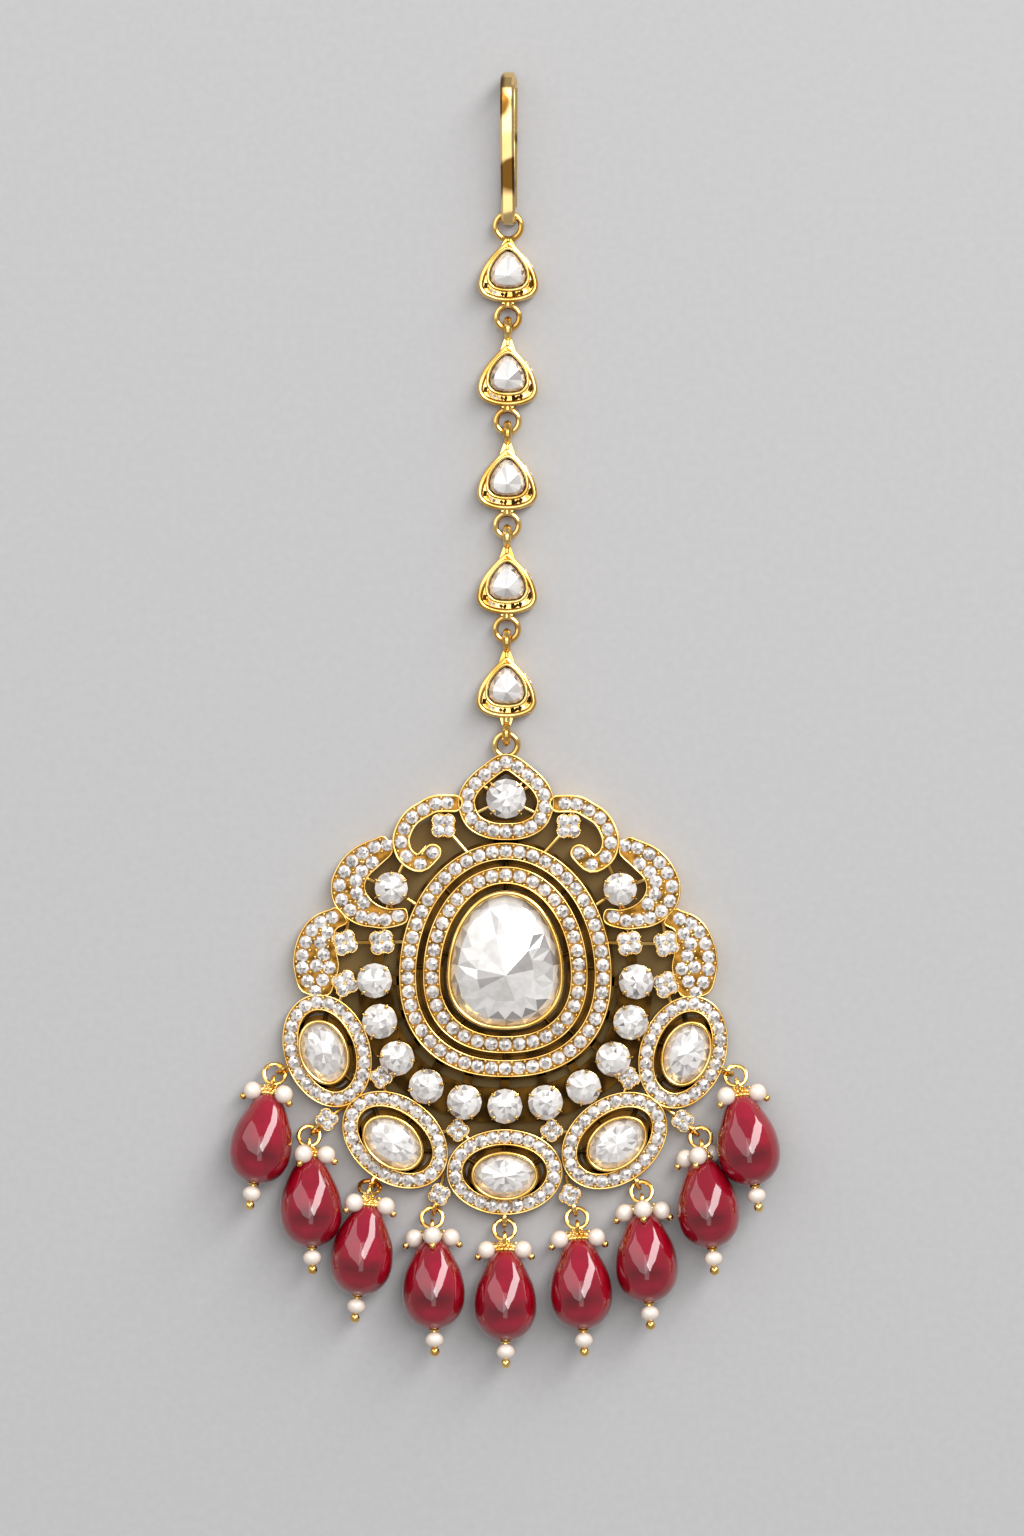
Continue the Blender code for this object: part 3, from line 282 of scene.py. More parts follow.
# Pearls of a sprig: shares of the reach sideways, down and towards the eye
SPRIGS = {
    "pair": ((-1.0, 1.0, 0.0), (1.0, 1.0, 0.0)),
    "three": ((-1.0, 1.0, 0.0), (1.0, 1.0, 0.0), (0.0, 0.98, 0.91)),
    "left_in": ((-0.72, 0.98, 0.6), (1.0, 1.0, 0.0)),
    "right_in": ((-1.0, 1.0, 0.0), (0.72, 0.98, 0.6)),
    "left_front": ((-0.32, 0.98, 0.86), (0.92, 0.98, 0.22)),
    "right_behind": ((-0.96, 0.98, 0.1), (-0.26, 0.98, 0.87), (0.5, 0.78, -0.71)),
}

# Outlines from the top middle down: shares of the half width and of the length
TRAY_OUTLINE = [(0.0, 0.0), (0.18, 0.06), (0.46, 0.2), (0.71, 0.345), (0.87, 0.48), (0.97, 0.62),
                (1.0, 0.76), (0.89, 0.87), (0.71, 0.93), (0.4, 0.98), (0.0, 1.0)]
STONE_OUTLINE = [(0.0, 0.0), (0.2, 0.03), (0.45, 0.12), (0.66, 0.24), (0.83, 0.36), (0.94, 0.48),
                 (1.0, 0.64), (0.98, 0.76), (0.88, 0.86), (0.68, 0.94), (0.38, 0.985), (0.0, 1.0)]
# Curl of the hook through its ring, in shares of the band's thickness
HOOK_CURL_LOW = [(0.69, 0.0), (0.15, 0.35)]
HOOK_CURL_HIGH = [(0.18, -0.33), (0.75, 0.06)]
HOOK_RISE = (0.12, 0.25, 0.42, 0.6, 0.8, 1.0)

# Top halo: upper and lower half, from the middle and from the side
TOP_HALO_RISE = [(0.0, 1.0), (0.47, 0.74), (0.86, 0.38), (1.0, 0.0)]
TOP_HALO_FALL = [(0.84, 0.62), (0.46, 0.93), (0.0, 1.0)]

# Glass drop: share of its radius at each share of its length from the top
BEAD_PROFILE = [(0.28, 0.0), (0.36, 0.025), (0.49, 0.077), (0.6, 0.14), (0.714, 0.218), (0.81, 0.29),
                (0.89, 0.359), (0.945, 0.43), (0.98, 0.5), (1.0, 0.585), (0.99, 0.66), (0.965, 0.72),
                (0.9, 0.79), (0.79, 0.86), (0.6, 0.93), (0.4, 0.972), (0.2, 1.0)]
BEAD_FAT_SHARE = 0.65

# Granules on a drop's neck: height over the bead, distance from the axis, radius in millimetres, count
GRANULES = [(0.18, 0.96, 0.3, 11), (1.2, 0.52, 0.24, 7), (0.66, 0.8, 0.22, 9)]


# Lines and places


def smooth_route(points, steps, closed=False):
    """A smooth curve through the points, with the given number of steps a span."""
    count = len(points)
    spans = count if closed else count - 1
    route = []
    for i in range(spans):
        if closed:
            a, b, c, d = (points[(i + k - 1) % count] for k in range(4))
        else:
            a, b, c, d = (points[min(max(i + k - 1, 0), count - 1)] for k in range(4))
        a, b, c, d = Vector(a), Vector(b), Vector(c), Vector(d)
        for step in range(steps):
            t = step / steps
            route.append((2 * b + (c - a) * t + (2 * a - 5 * b + 4 * c - d) * t ** 2
                          + (3 * b - a - 3 * c + d) * t ** 3) / 2)
    if not closed:
        route.append(Vector(points[-1]))
    return route


def sideways(route, distance, closed=False):
    """The route moved to its left by the distance."""
    count = len(route)
    moved = []
    for i, point in enumerate(route):
        if closed:
            ahead = route[(i + 1) % count]
            behind = route[i - 1]
        else:
            ahead = route[min(i + 1, count - 1)]
            behind = route[max(i - 1, 0)]
        along = (ahead - behind).normalized()
        moved.append(point + Vector((-along.y, along.x)) * distance)
    return moved


def inset(loop, distance):
    """A closed outline that runs anticlockwise, drawn in by the distance."""
    return sideways(loop, distance, closed=True)


def ribbon(route, half_width):
    """The outline of a band of even width along an open route, with round ends."""
    left = sideways(route, half_width)
    outline = sideways(route, -half_width)
    for end, ahead in ((route[-1], route[-1] - route[-2]), (route[0], route[0] - route[1])):
        heading = math.atan2(ahead.y, ahead.x)
        for turn in range(-72, 73, 18):
            angle = heading + math.radians(turn)
            outline.append(end + Vector((math.cos(angle), math.sin(angle))) * half_width)
        if end == route[-1]:
            outline.extend(reversed(left))
    return outline


def between(line, edge, half_width):
    """The outline of a band that runs from the left side of a line to an edge drawn beside it."""
    outer = sideways([share_point(x, y) for x, y in line], half_width)
    inner = [Vector((x * MM, y * MM)) for x, y in reversed(edge)]
    return smooth_route(outer + inner, STEPS, closed=True)


def mirrored(loop):
    return [Vector((-point[0], point[1])) for point in reversed(loop)]


def circle(x, y, radius, sides):
    turns = [2 * math.pi * i / sides for i in range(sides)]
    return [Vector((x + radius * math.cos(turn), y + radius * math.sin(turn))) for turn in turns]


def power(value, exponent):
    return math.copysign(abs(value) ** exponent, value)


def egg_point(turn, grow):
    side = math.cos(turn)
    rise = math.sin(turn)
    exponent = 1.0 if rise >= 0 else 2 / EGG_FOOT_POWER
    height = EGG_UP if rise >= 0 else EGG_DOWN
    x = (EGG_HALF_WIDTH + grow) * power(side, exponent)
    y = (height + grow) * power(rise, exponent)
    return Vector((x, EGG_CENTRE_Y + y))


def egg_loop(grow, sides):
    """The egg outline with its points evenly spaced, starting at the top and running anticlockwise."""
    fine = [egg_point(math.pi / 2 + 2 * math.pi * i / 720, grow) for i in range(720)]
    return even_places(fine, sides)


def even_places(loop, count):
    """Evenly spaced places round a closed line, from its first point on."""
    closed = list(loop) + [loop[0]]
    steps = [(b - a).length for a, b in zip(closed, closed[1:])]
    pitch = sum(steps) / count
    places = []
    walked = 0.0
    for a, b, step in zip(closed, closed[1:], steps):
        while len(places) < count and len(places) * pitch < walked + step:
            places.append(a.lerp(b, (len(places) * pitch - walked) / step))
        walked += step
    return places


def at(place, height=0.0):
    """Where something stands: a place in the XY plane and a height."""
    return Matrix.Translation((place[0], place[1], height))


def oval_frame(x, y, lean):
    return at((x * SPREAD, y * SPREAD)) @ Matrix.Rotation(math.radians(lean), 4, "Z")


def oval_loop(place, short, long, sides, shift=Vector((0, 0, 0))):
    loop = []
    for i in range(sides):
        turn = 2 * math.pi * i / sides
        point = place @ Vector((short * math.cos(turn), long * math.sin(turn), 0)) + shift
        loop.append(point.to_2d())
    return loop


def outward_shift(place):
    centre = place.translation - Vector((0, EGG_CENTRE_Y, 0))
    across = place.to_3x3() @ Vector((1, 0, 0))
    if across.dot(centre) < 0:
        across = -across
    return across * OVAL_BEZEL_SHIFT


def shield_loop(outline, top, half_width, length):
    half = [Vector((x * half_width, top - y * length)) for x, y in outline]
    return smooth_route(list(reversed(half + mirrored(half)[1:-1])), STEPS, closed=True)


def share_point(x, y):
    return Vector((x * SPREAD, y * SPREAD))


def both_sides(x, y):
    point = share_point(x, y)
    return point, Vector((-point.x, point.y))


def bearing(place):
    """Direction of a place as seen from the middle of the egg rings."""
    return math.atan2(place.y - EGG_CENTRE_Y, place.x)


def round_stone_places():
    pitch = 2 * ROUND_STONE_RADIUS + ROUND_STONE_SPACE
    half_width = EGG_HALF_WIDTH + ROUND_ROW_OFFSET

    def on_row(turn):
        exponent = 2 / EGG_FOOT_POWER if turn < 0 else 1.0
        x = half_width * power(math.cos(turn), exponent)
        y = ROUND_ROW_DROP * power(math.sin(turn), exponent)
        return Vector((x, EGG_CENTRE_Y + y))

    places = [on_row(-math.pi / 2)]
    turn = -math.pi / 2
    while len(places) < (ROUND_STONES + 1) // 2:
        while (on_row(turn) - places[-1]).length < pitch:
            turn += math.radians(0.1)
        places.append(on_row(turn))
    left = [Vector((-place.x, place.y)) for place in reversed(places[1:])]
    return left + places


def top_halo_route():
    line = [Vector((x * TOP_HALO_HALF_WIDTH, TOP_HALO_Y + y * TOP_HALO_UP)) for x, y in TOP_HALO_RISE]
    line += [Vector((x * TOP_HALO_HALF_WIDTH, TOP_HALO_Y - y * TOP_HALO_DOWN)) for x, y in TOP_HALO_FALL]
    line = list(reversed(line + mirrored(line)[1:-1]))
    return smooth_route(line[-1:] + line[:-1], 6, closed=True)


def carrier(name):
    """Centre of what a drop hangs from, and its reach in a direction."""
    for oval, x, y, lean in OVALS:
        if oval == name:
            def reach(direction):
                local = Matrix.Rotation(-math.radians(lean), 2) @ direction
                short = OVAL_SHORT + HALO_ROW_WIDTH / 2
                long = OVAL_LONG + HALO_ROW_WIDTH / 2
                return 1 / math.hypot(local.x / short, local.y / long)
            return share_point(x, y), reach
    flower, side = name.rsplit("_", 1)
    x, y, radius = FLOWERS[flower]
    sign = -1 if side == "left" else 1
    return share_point(sign * x, y), lambda direction: radius


def drop_frames():
    """For each drop: place of its jump ring, turn of the frame's eye, place of its bead, its sprig."""
    fat_offset = BEAD_FAT_SHARE * BEAD_LENGTH - BEAD_TOP
    frames = []
    for name, lean, swing, tilt, sprig in DROPS:
        centre, reach = carrier(name)
        direction = Vector((math.sin(math.radians(lean)), -math.cos(math.radians(lean))))
        tilt = math.radians(tilt)
        clear = JUMP_RADIUS * math.cos(tilt) + JUMP_WIRE + LINK_GAP + FLOOR_CLEARANCE
        ring = centre + direction * (reach(direction) + clear)
        eye_height = DROP_EYE_MIDDLE + 2 * JUMP_RADIUS * math.sin(tilt)
        pitch = math.asin((BEAD_RADIUS - eye_height) / (fat_offset + PIN_EYE_REACH))
        bead_height = BEAD_RADIUS / math.cos(pitch) + FLOOR_CLEARANCE - fat_offset * math.sin(pitch)
        ring_height = bead_height - PIN_EYE_REACH * math.sin(pitch) - JUMP_RADIUS * math.sin(tilt)
        turn = Matrix.Rotation(math.radians(swing), 4, "Z")
        ring_frame = Matrix.Translation((ring.x, ring.y, ring_height)) @ turn
        ring_frame = ring_frame @ Matrix.Rotation(-tilt, 4, "X")
        back = centre - ring
        eye_turn = math.atan2(back.y, back.x) - math.pi / 2 - math.radians(swing)
        hang = JUMP_RADIUS * math.cos(tilt) + PIN_EYE_REACH * math.cos(pitch)
        bead = ring + (turn.to_3x3() @ Vector((0, -hang, 0))).to_2d()
        bead_frame = Matrix.Translation((bead.x, bead.y, bead_height)) @ turn
        bead_frame = bead_frame @ Matrix.Rotation(-pitch, 4, "X")
        frames.append((ring_frame, eye_turn, bead_frame, sprig))
    return frames


def upright(matrix, along):
    """Frame of a loop standing on edge, its centre at a distance along the matrix's own Y."""
    return matrix @ Matrix.Translation((0, along, 0)) @ Matrix.Rotation(math.pi / 2, 4, "Y")


def tray_tops():
    last_bottom = TOP_RING_Y + RING_RADIUS + LOOP_RADIUS + LINK_WIRE / 2 + LAST_LINK_SPACE
    last_top = last_bottom + TRAY_LENGTH
    pitch = TRAY_LENGTH + TRAY_TO_LOOP + TRAY_TO_RING
    return [last_top + (CHAIN_LINKS - 1 - number) * pitch for number in range(CHAIN_LINKS)]


def hook_ring_middle():
    return tray_tops()[0] + HOOK_RING_OUTER - LINK_WIRE / 2


# Finishes


def linear(hex_colour):
    """An sRGB hex colour as linear RGBA."""
    shares = [int(hex_colour[i:i + 2], 16) / 255 for i in (1, 3, 5)]
    return [c / 12.92 if c <= 0.04045 else ((c + 0.055) / 1.055) ** 2.4 for c in shares] + [1.0]


def add_node(material, kind, settings=None, values=None, links=None):
    """A node with its settings, the values of its sockets, and links given as socket: output."""
    node = material.node_tree.nodes.new(kind)
    for name, value in (settings or {}).items():
        setattr(node, name, value)
    for name, value in (values or {}).items():
        node.inputs[name].default_value = value
    for name, output in (links or {}).items():
        material.node_tree.links.new(output, node.inputs[name])
    return node


def new_finish(name, values):
    """A material whose Principled shader has these fixed values."""
    material = bpy.data.materials.new(name)
    material.use_nodes = True
    for socket, value in values.items():
        material.node_tree.nodes["Principled BSDF"].inputs[socket].default_value = value
    return material


def dress(material, colour, height=None, depth_mm=0.0, strength=1.0):
    """Gives the material its colour and, where there is a height, its relief, both from node outputs."""
    shader = material.node_tree.nodes["Principled BSDF"]
    material.node_tree.links.new(colour, shader.inputs["Base Color"])
    if height is not None:
        relief = add_node(material, "ShaderNodeBump", {},
                          {"Distance": depth_mm * MM, "Strength": strength}, {"Height": height})
        material.node_tree.links.new(relief.outputs["Normal"], shader.inputs["Normal"])
    return material


def colour_ramp(material, factor, stops):
    node = add_node(material, "ShaderNodeValToRGB", links={"Fac": factor})
    ramp = node.color_ramp
    for position, colour in stops[1:-1]:
        ramp.elements.new(position).color = linear(colour)
    ramp.elements[0].position, ramp.elements[0].color = stops[0][0], linear(stops[0][1])
    ramp.elements[-1].position, ramp.elements[-1].color = stops[-1][0], linear(stops[-1][1])
    return node.outputs["Color"]


def grain(material, size_mm, detail):
    """Noise whose grain is about the given size."""
    place = add_node(material, "ShaderNodeTexCoord")
    noise = add_node(material, "ShaderNodeTexNoise", values={"Scale": 1 / (size_mm * MM), "Detail": detail},
                     links={"Vector": place.outputs["Object"]})
    return noise.outputs["Fac"]


def attribute(material, name):
    return add_node(material, "ShaderNodeAttribute", {"attribute_name": name}).outputs["Fac"]


def facing(material):
    """0 where the surface looks at the eye, 1 where it turns away."""
    return add_node(material, "ShaderNodeLayerWeight", values={"Blend": 0.4}).outputs["Facing"]


def multiply(material, share, colour, by):
    """The colour multiplied by another; the share of it is a number or an output."""
    values, links = ({0: share}, {}) if isinstance(share, float) else ({}, {0: share})
    links.update({6: colour, 7: by})
    return add_node(material, "ShaderNodeMix", {"data_type": "RGBA", "blend_type": "MULTIPLY"},
                    values, links).outputs[2]


def gold_finish(name, light, dark, roughness, wave_mm, depth_mm, low=0.35, high=0.62):
    """Electroplated 18 carat gold on cast brass: warm yellow mirror with faint casting waves."""
    material = new_finish(name, {"Metallic": 1.0, "Roughness": roughness})
    waves = grain(material, wave_mm, 0.5)
    # With the band's colours and narrow levels the waves paint sharp dark reflections into it
    return dress(material, colour_ramp(material, waves, [(low, dark), (high, light)]), waves, depth_mm)


def crystal_finish(name, stops, roughness, cloud_share):
    """Foil-backed cut crystal: each facet has a painted reflection, white or grey, standing in for the light
    the foil behind it throws back.
    """
    material = new_finish(name, {"Roughness": roughness, "IOR": 1.7, "Coat Weight": 1.0,
                                 "Coat Roughness": 0.02, "Metallic": 0.18})
    tint = colour_ramp(material, attribute(material, "facet_tone"), stops)
    cloud = colour_ramp(material, grain(material, 0.9, 2.0), [(0.38, "#C4C0BF"), (0.6, "#FFFFFF")])
    return dress(material, multiply(material, cloud_share, tint, cloud))


def ruby_glass():
    """Pressed ruby glass: deep red body with a painted dark magenta core low down, wet fire-polished skin.
    """
    material = new_finish("ruby_red_pressed_glass", {"Roughness": 0.04, "IOR": 1.46, "Coat Weight": 0.85,
                                                     "Coat Roughness": 0.01})
    turned_away = facing(material)
    # Painted shade: the body darkens towards its outline as the eye sees it
    body = colour_ramp(material, turned_away,
                       [(0.0, "#96042F"), (0.3, "#8C0319"), (0.7, "#7E010C"), (1.0, "#5E0008")])
    swirl = grain(material, 2.6, 2.0)
    veil = colour_ramp(material, swirl, [(0.4, "#C9A0A8"), (0.6, "#FFFFFF")])
    # Painted shade for light through the glass: a dark magenta core low down, only where the bead faces the
    # eye
    painted_core = colour_ramp(material, attribute(material, "drop_depth"),
                        [(0.0, "#FFD8E0"), (0.2, "#FFFFFF"), (0.55, "#F0B0C0"), (0.7, "#98305C"),
                         (0.78, "#C86088"), (0.84, "#FFFFFF"), (1.0, "#FFE0E4")])
    middle = colour_ramp(material, turned_away,
                         [(0.0, "#FFFFFF"), (0.1, "#E0E0E0"), (0.3, "#000000"), (1.0, "#000000")])
    glass = multiply(material, middle, multiply(material, 0.5, body, veil), painted_core)
    return dress(material, glass, swirl, 0.05, 0.4)


def pearl_finish():
    """Glass pearl with an essence coat: creamy pink body, small bright highlight in a soft sheen."""
    material = new_finish("cream_glass_pearl", {"Roughness": 0.28, "IOR": 1.6, "Coat Weight": 1.0,
                                                "Coat Roughness": 0.03})
    # Painted shade: the body darkens to brown-peach towards its outline as the eye sees it
    body = colour_ramp(material, facing(material), [(0.0, "#E4D8CC"), (0.45, "#D6C6B6"), (1.0, "#9C8068")])
    return dress(material, body, grain(material, 0.6, 2.0), 0.01, 0.4)


def paper_floor():
    """Matt grey card with a fine tooth; under the medallion a brown shade, as if thrown by the gold's sides,
    is painted on it.
    """
    material = new_finish("matt_grey_card", {"Roughness": 0.9, "Specular IOR Level": 0.2})
    tooth = grain(material, 0.9, 4.0)
    card = colour_ramp(material, tooth, [(0.3, "#AAA9A9"), (0.7, "#AEADAD")])
    place = add_node(material, "ShaderNodeTexCoord").outputs["Object"]
    past = {}
    for number, (middle_mm, reach) in enumerate(((-2, SHADE_REACH), (15, TOP_SHADE_REACH))):
        away = add_node(material, "ShaderNodeVectorMath", {"operation": "DISTANCE"},
                        {1: (0, middle_mm * MM, 0)}, {0: place})
        past[number] = add_node(material, "ShaderNodeMath", {"operation": "SUBTRACT"}, {1: reach},
                                {0: away.outputs["Value"]}).outputs["Value"]
    nearest = add_node(material, "ShaderNodeMath", {"operation": "MINIMUM"}, links=past)
    shade = add_node(material, "ShaderNodeMapRange",
                     values={"From Min": -MM, "From Max": 0.0, "To Min": 1.0, "To Max": 0.0},
                     links={"Value": nearest.outputs["Value"]})
    # Painted shade: the card turns brown inside two soft-edged circles under the medallion
    shaded = add_node(material, "ShaderNodeMix", {"data_type": "RGBA"}, {7: linear("#6E5B39")},
                      {0: shade.outputs["Result"], 6: card})
    return dress(material, shaded.outputs[2], tooth, 0.02, 0.3)


# Gold: name, light and dark colour, roughness, size and depth of the waves in millimetres and, where
# they aren't the usual ones, the two noise levels between which the colour changes
GOLDS = {
    # Bright mirror of the rims, claws and trays
    "polished": ("gold_plated_brass_polished", "#F5D083", "#DCA951", 0.14, 2.6, 0.05),
    # Drawn wire, a little yellower
    "wire": ("gold_plated_wire", "#F6D282", "#DFAC54", 0.14, 2.0, 0.03),
    # Painted shade: dark gold for the sheets low in the gaps, the bars, the beds under the link stones and
    # some chips
    "painted_shade": ("gold_plated_brass_recess", "#4E3512", "#2A1B08", 0.45, 1.6, 0.03),
    # Floor of the stone rows, darker gold for painted shade between the stones
    "channel": ("gold_plated_brass_channel", "#8E6426", "#553910", 0.3, 0.9, 0.04),
    # Broad band, pale with a few sharp dark reflections painted into its colour
    "hook": ("gold_plated_band", "#F3D08C", "#6B4A1C", 0.1, 4.2, 0.14, 0.37, 0.44),
}

# Crystal: name, colours from the darkest facet to the lightest, roughness, share of the cloudy grey
CRYSTALS = {
    # Small brilliants of the rows: white with grey-brown tables; facet tones are painted reflections, the
    # tables painted shade
    "pave": ("pave_crystal", [(0.0, "#5E5650"), (0.18, "#A09A96"), (0.45, "#E0DDDA"), (1.0, "#F8F6F4")],
             0.08, 0.2),
    # Claw-set and bezel-set stones: nearly white, with few dark flecks; facet tones are painted reflections
    "crystal": ("foil_backed_crystal_cut",
                [(0.0, "#7A7471"), (0.16, "#B2ADA9"), (0.45, "#D3CFCB"), (1.0, "#EFECE9")], 0.05, 0.16),
    # Centre stone: white beside crisp grey facets, painted reflections
    "centre": ("foil_backed_crystal_centre",
               [(0.0, "#5C5755"), (0.16, "#96918E"), (0.45, "#C2BEBA"), (1.0, "#E4E1DE")], 0.05, 0.24),
}
FINISHES = {}


# Shapes


def scrap_object(name, data):
    item = bpy.data.objects.new(name, data)
    SCENE.collection.objects.link(item)
    return item


def mesh_of(item):
    """The curve or modified object as a plain mesh; the object itself is removed."""
    bpy.context.view_layer.update()
    graph = bpy.context.evaluated_depsgraph_get()
    mesh = bpy.data.meshes.new_from_object(item.evaluated_get(graph))
    mesh.transform(item.matrix_world)
    bpy.data.objects.remove(item, do_unlink=True)
    return mesh


def merged(mesh):
    """The mesh in a bmesh, its doubles merged and its faces turned outwards."""
    bm = bmesh.new()
    bm.from_mesh(mesh)
    bpy.data.meshes.remove(mesh)
    bmesh.ops.remove_doubles(bm, verts=bm.verts, dist=1e-7)
    bmesh.ops.recalc_face_normals(bm, faces=bm.faces)
    return bm


def add_line(curve, points, closed):
    """Adds a line through the points, flat or in space, to the curve."""
    spline = curve.splines.new("POLY")
    spline.points.add(len(points) - 1)
    for point, place in zip(spline.points, points):
        x, y, z = (*place, 0)[:3]
        point.co = (x, y, z, 1)
    spline.use_cyclic_u = closed


def plate(loops, low, high):
    """A flat piece from outlines in the XY plane, between two heights, as a bmesh."""
    curve = bpy.data.curves.new("plate", "CURVE")
    curve.dimensions = "2D"
    curve.fill_mode = "BOTH"
    curve.extrude = (high - low) / 2
    for loop in loops:
        add_line(curve, loop, True)
    item = scrap_object("plate", curve)
    item.location.z = (low + high) / 2
    return merged(mesh_of(item))


def wires(routes, radius, sides=8):
    """Round wires along the routes, as a bmesh."""
    curve = bpy.data.curves.new("wire", "CURVE")
    curve.dimensions = "3D"
    curve.bevel_depth = radius
    curve.bevel_resolution = sides // 2 - 2
    curve.use_fill_caps = True
    for route in routes:
        add_line(curve, route, False)
    return merged(mesh_of(scrap_object("wire", curve)))


def level_wires(pairs, radius, height):
    """Level round wires, each between a pair of places, as a bmesh."""
    return wires([[(*a, height), (*b, height)] for a, b in pairs], radius)


def sweep(route, section, closed=False):
    """A solid of the given cross section along a route in the XY plane, as a bmesh."""
    profile = bpy.data.curves.new("section", "CURVE")
    path = bpy.data.curves.new("route", "CURVE")
    profile.dimensions = path.dimensions = "2D"
    path.fill_mode = "NONE"
    add_line(profile, section, True)
    add_line(path, route, closed)
    profile_item = scrap_object("section", profile)
    path.bevel_mode = "OBJECT"
    path.bevel_object = profile_item
    path.use_fill_caps = True
    bm = merged(mesh_of(scrap_object("route", path)))
    bpy.data.objects.remove(profile_item, do_unlink=True)
    return bm


def rounded_section(half_width, height, corner):
    """Cross section of a wall, its top corners rounded."""
    section = [(-half_width, 0)]
    for sign in (-1, 1):
        for step in range(4):
            turn = math.radians(30 * step)
            side = corner * (1 - (math.cos(turn) if sign < 0 else math.sin(turn)))
            rise = corner * (1 - (math.sin(turn) if sign < 0 else math.cos(turn)))
            section.append((sign * (half_width - side), height - rise))
    section.append((half_width, 0))
    return section


def spun(bm, steps, place):
    """The outline in the bmesh spun once round Z, then moved to its place."""
    bmesh.ops.spin(bm, geom=bm.verts[:] + bm.edges[:], cent=(0, 0, 0), axis=(0, 0, 1), dvec=(0, 0, 0),
                   angle=2 * math.pi, steps=steps, use_merge=True)
    bmesh.ops.remove_doubles(bm, verts=bm.verts, dist=1e-7)
    bmesh.ops.recalc_face_normals(bm, faces=bm.faces)
    bm.transform(place)
    return bm


def hoop(radius, wire, place, steps=36, sides=10):
    """A round wire ring in the place's own XY plane, as a bmesh."""
    bm = bmesh.new()
    disc = bmesh.ops.create_circle(bm, segments=sides, radius=wire)
    bmesh.ops.rotate(bm, verts=disc["verts"], cent=(0, 0, 0), matrix=Matrix.Rotation(math.pi / 2, 3, "X"))
    bmesh.ops.translate(bm, verts=disc["verts"], vec=(radius, 0, 0))
    return spun(bm, steps, place)


def turned(profile, steps):
    """A body of revolution about Y from radius and height pairs, its narrow end first, as a bmesh."""
    bm = bmesh.new()
    verts = [bm.verts.new((radius, 0, height)) for radius, height in profile]
    for first, second in zip(verts, verts[1:]):
        bm.edges.new((first, second))
    return spun(bm, steps, Matrix.Rotation(-math.pi / 2, 4, "X"))


def ball(radius, u=24, v=14, squash=1.0):
    """A round bead whose poles lie along Y, as a bmesh."""
    bm = bmesh.new()
    bmesh.ops.create_uvsphere(bm, u_segments=u, v_segments=v, radius=radius)
    bm.transform(Matrix.Rotation(math.pi / 2, 4, "X") @ Matrix.Diagonal((1, 1, squash, 1)))
    return bm


def add_shape(target, source, place=None, keep=False):
    """Adds a copy of the source bmesh to the target; the source is freed unless it is kept."""
    mesh = bpy.data.meshes.new("shape")
    source.to_mesh(mesh)
    if place is not None:
        mesh.transform(place)
    target.from_mesh(mesh)
    bpy.data.meshes.remove(mesh)
    if not keep:
        source.free()


def add_copies(target, source, places):
    """Adds the source bmesh to the target at each of the places, then frees it."""
    for place in places:
        add_shape(target, source, place, keep=True)
    source.free()


def add_wall(metal, line, half_width, height, corner):
    """Adds an upright wall with a rounded top along a closed line."""
    add_shape(metal, sweep(line, rounded_section(half_width, height, corner), True))


def smooth_by_angle(bm, degrees):
    for face in bm.faces:
        face.smooth = True
    for edge in bm.edges:
        sharp = len(edge.link_faces) == 2 and edge.calc_face_angle(0) > math.radians(degrees)
        edge.smooth = not sharp


def make_piece(name, bm, finishes, replaces=(), angle=32):
    """Turns the bmesh into a finished piece of the model."""
    if angle:
        smooth_by_angle(bm, angle)
    mesh = bpy.data.meshes.new(name)
    bm.to_mesh(mesh)
    bm.free()
    for finish in finishes:
        mesh.materials.append(FINISHES[finish])
    item = scrap_object(name, mesh)
    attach(item, "root")
    if replaces:
        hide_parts(*replaces)
    return item


def tone_facets(bm, seed, flecks=0.0, pairs=False):
    """Gives each facet, or each pair, a tone of its own from 0 to 1, for painted glints and dark
    reflections; flecks is the share of darkest ones.
    """
    shades = random.Random(seed)
    layer = bm.faces.layers.float.get("facet_tone") or bm.faces.layers.float.new("facet_tone")
    tone = 0.5
    for number, face in enumerate(bm.faces):
        if not (pairs and number % 2):
            tone = 0.0 if shades.random() < flecks else 0.1 + 0.9 * shades.random()
        face[layer] = tone


def made(grown, kind):
    """The items of one kind that an operator made."""
    return [item for item in grown["geom"] if isinstance(item, kind)]


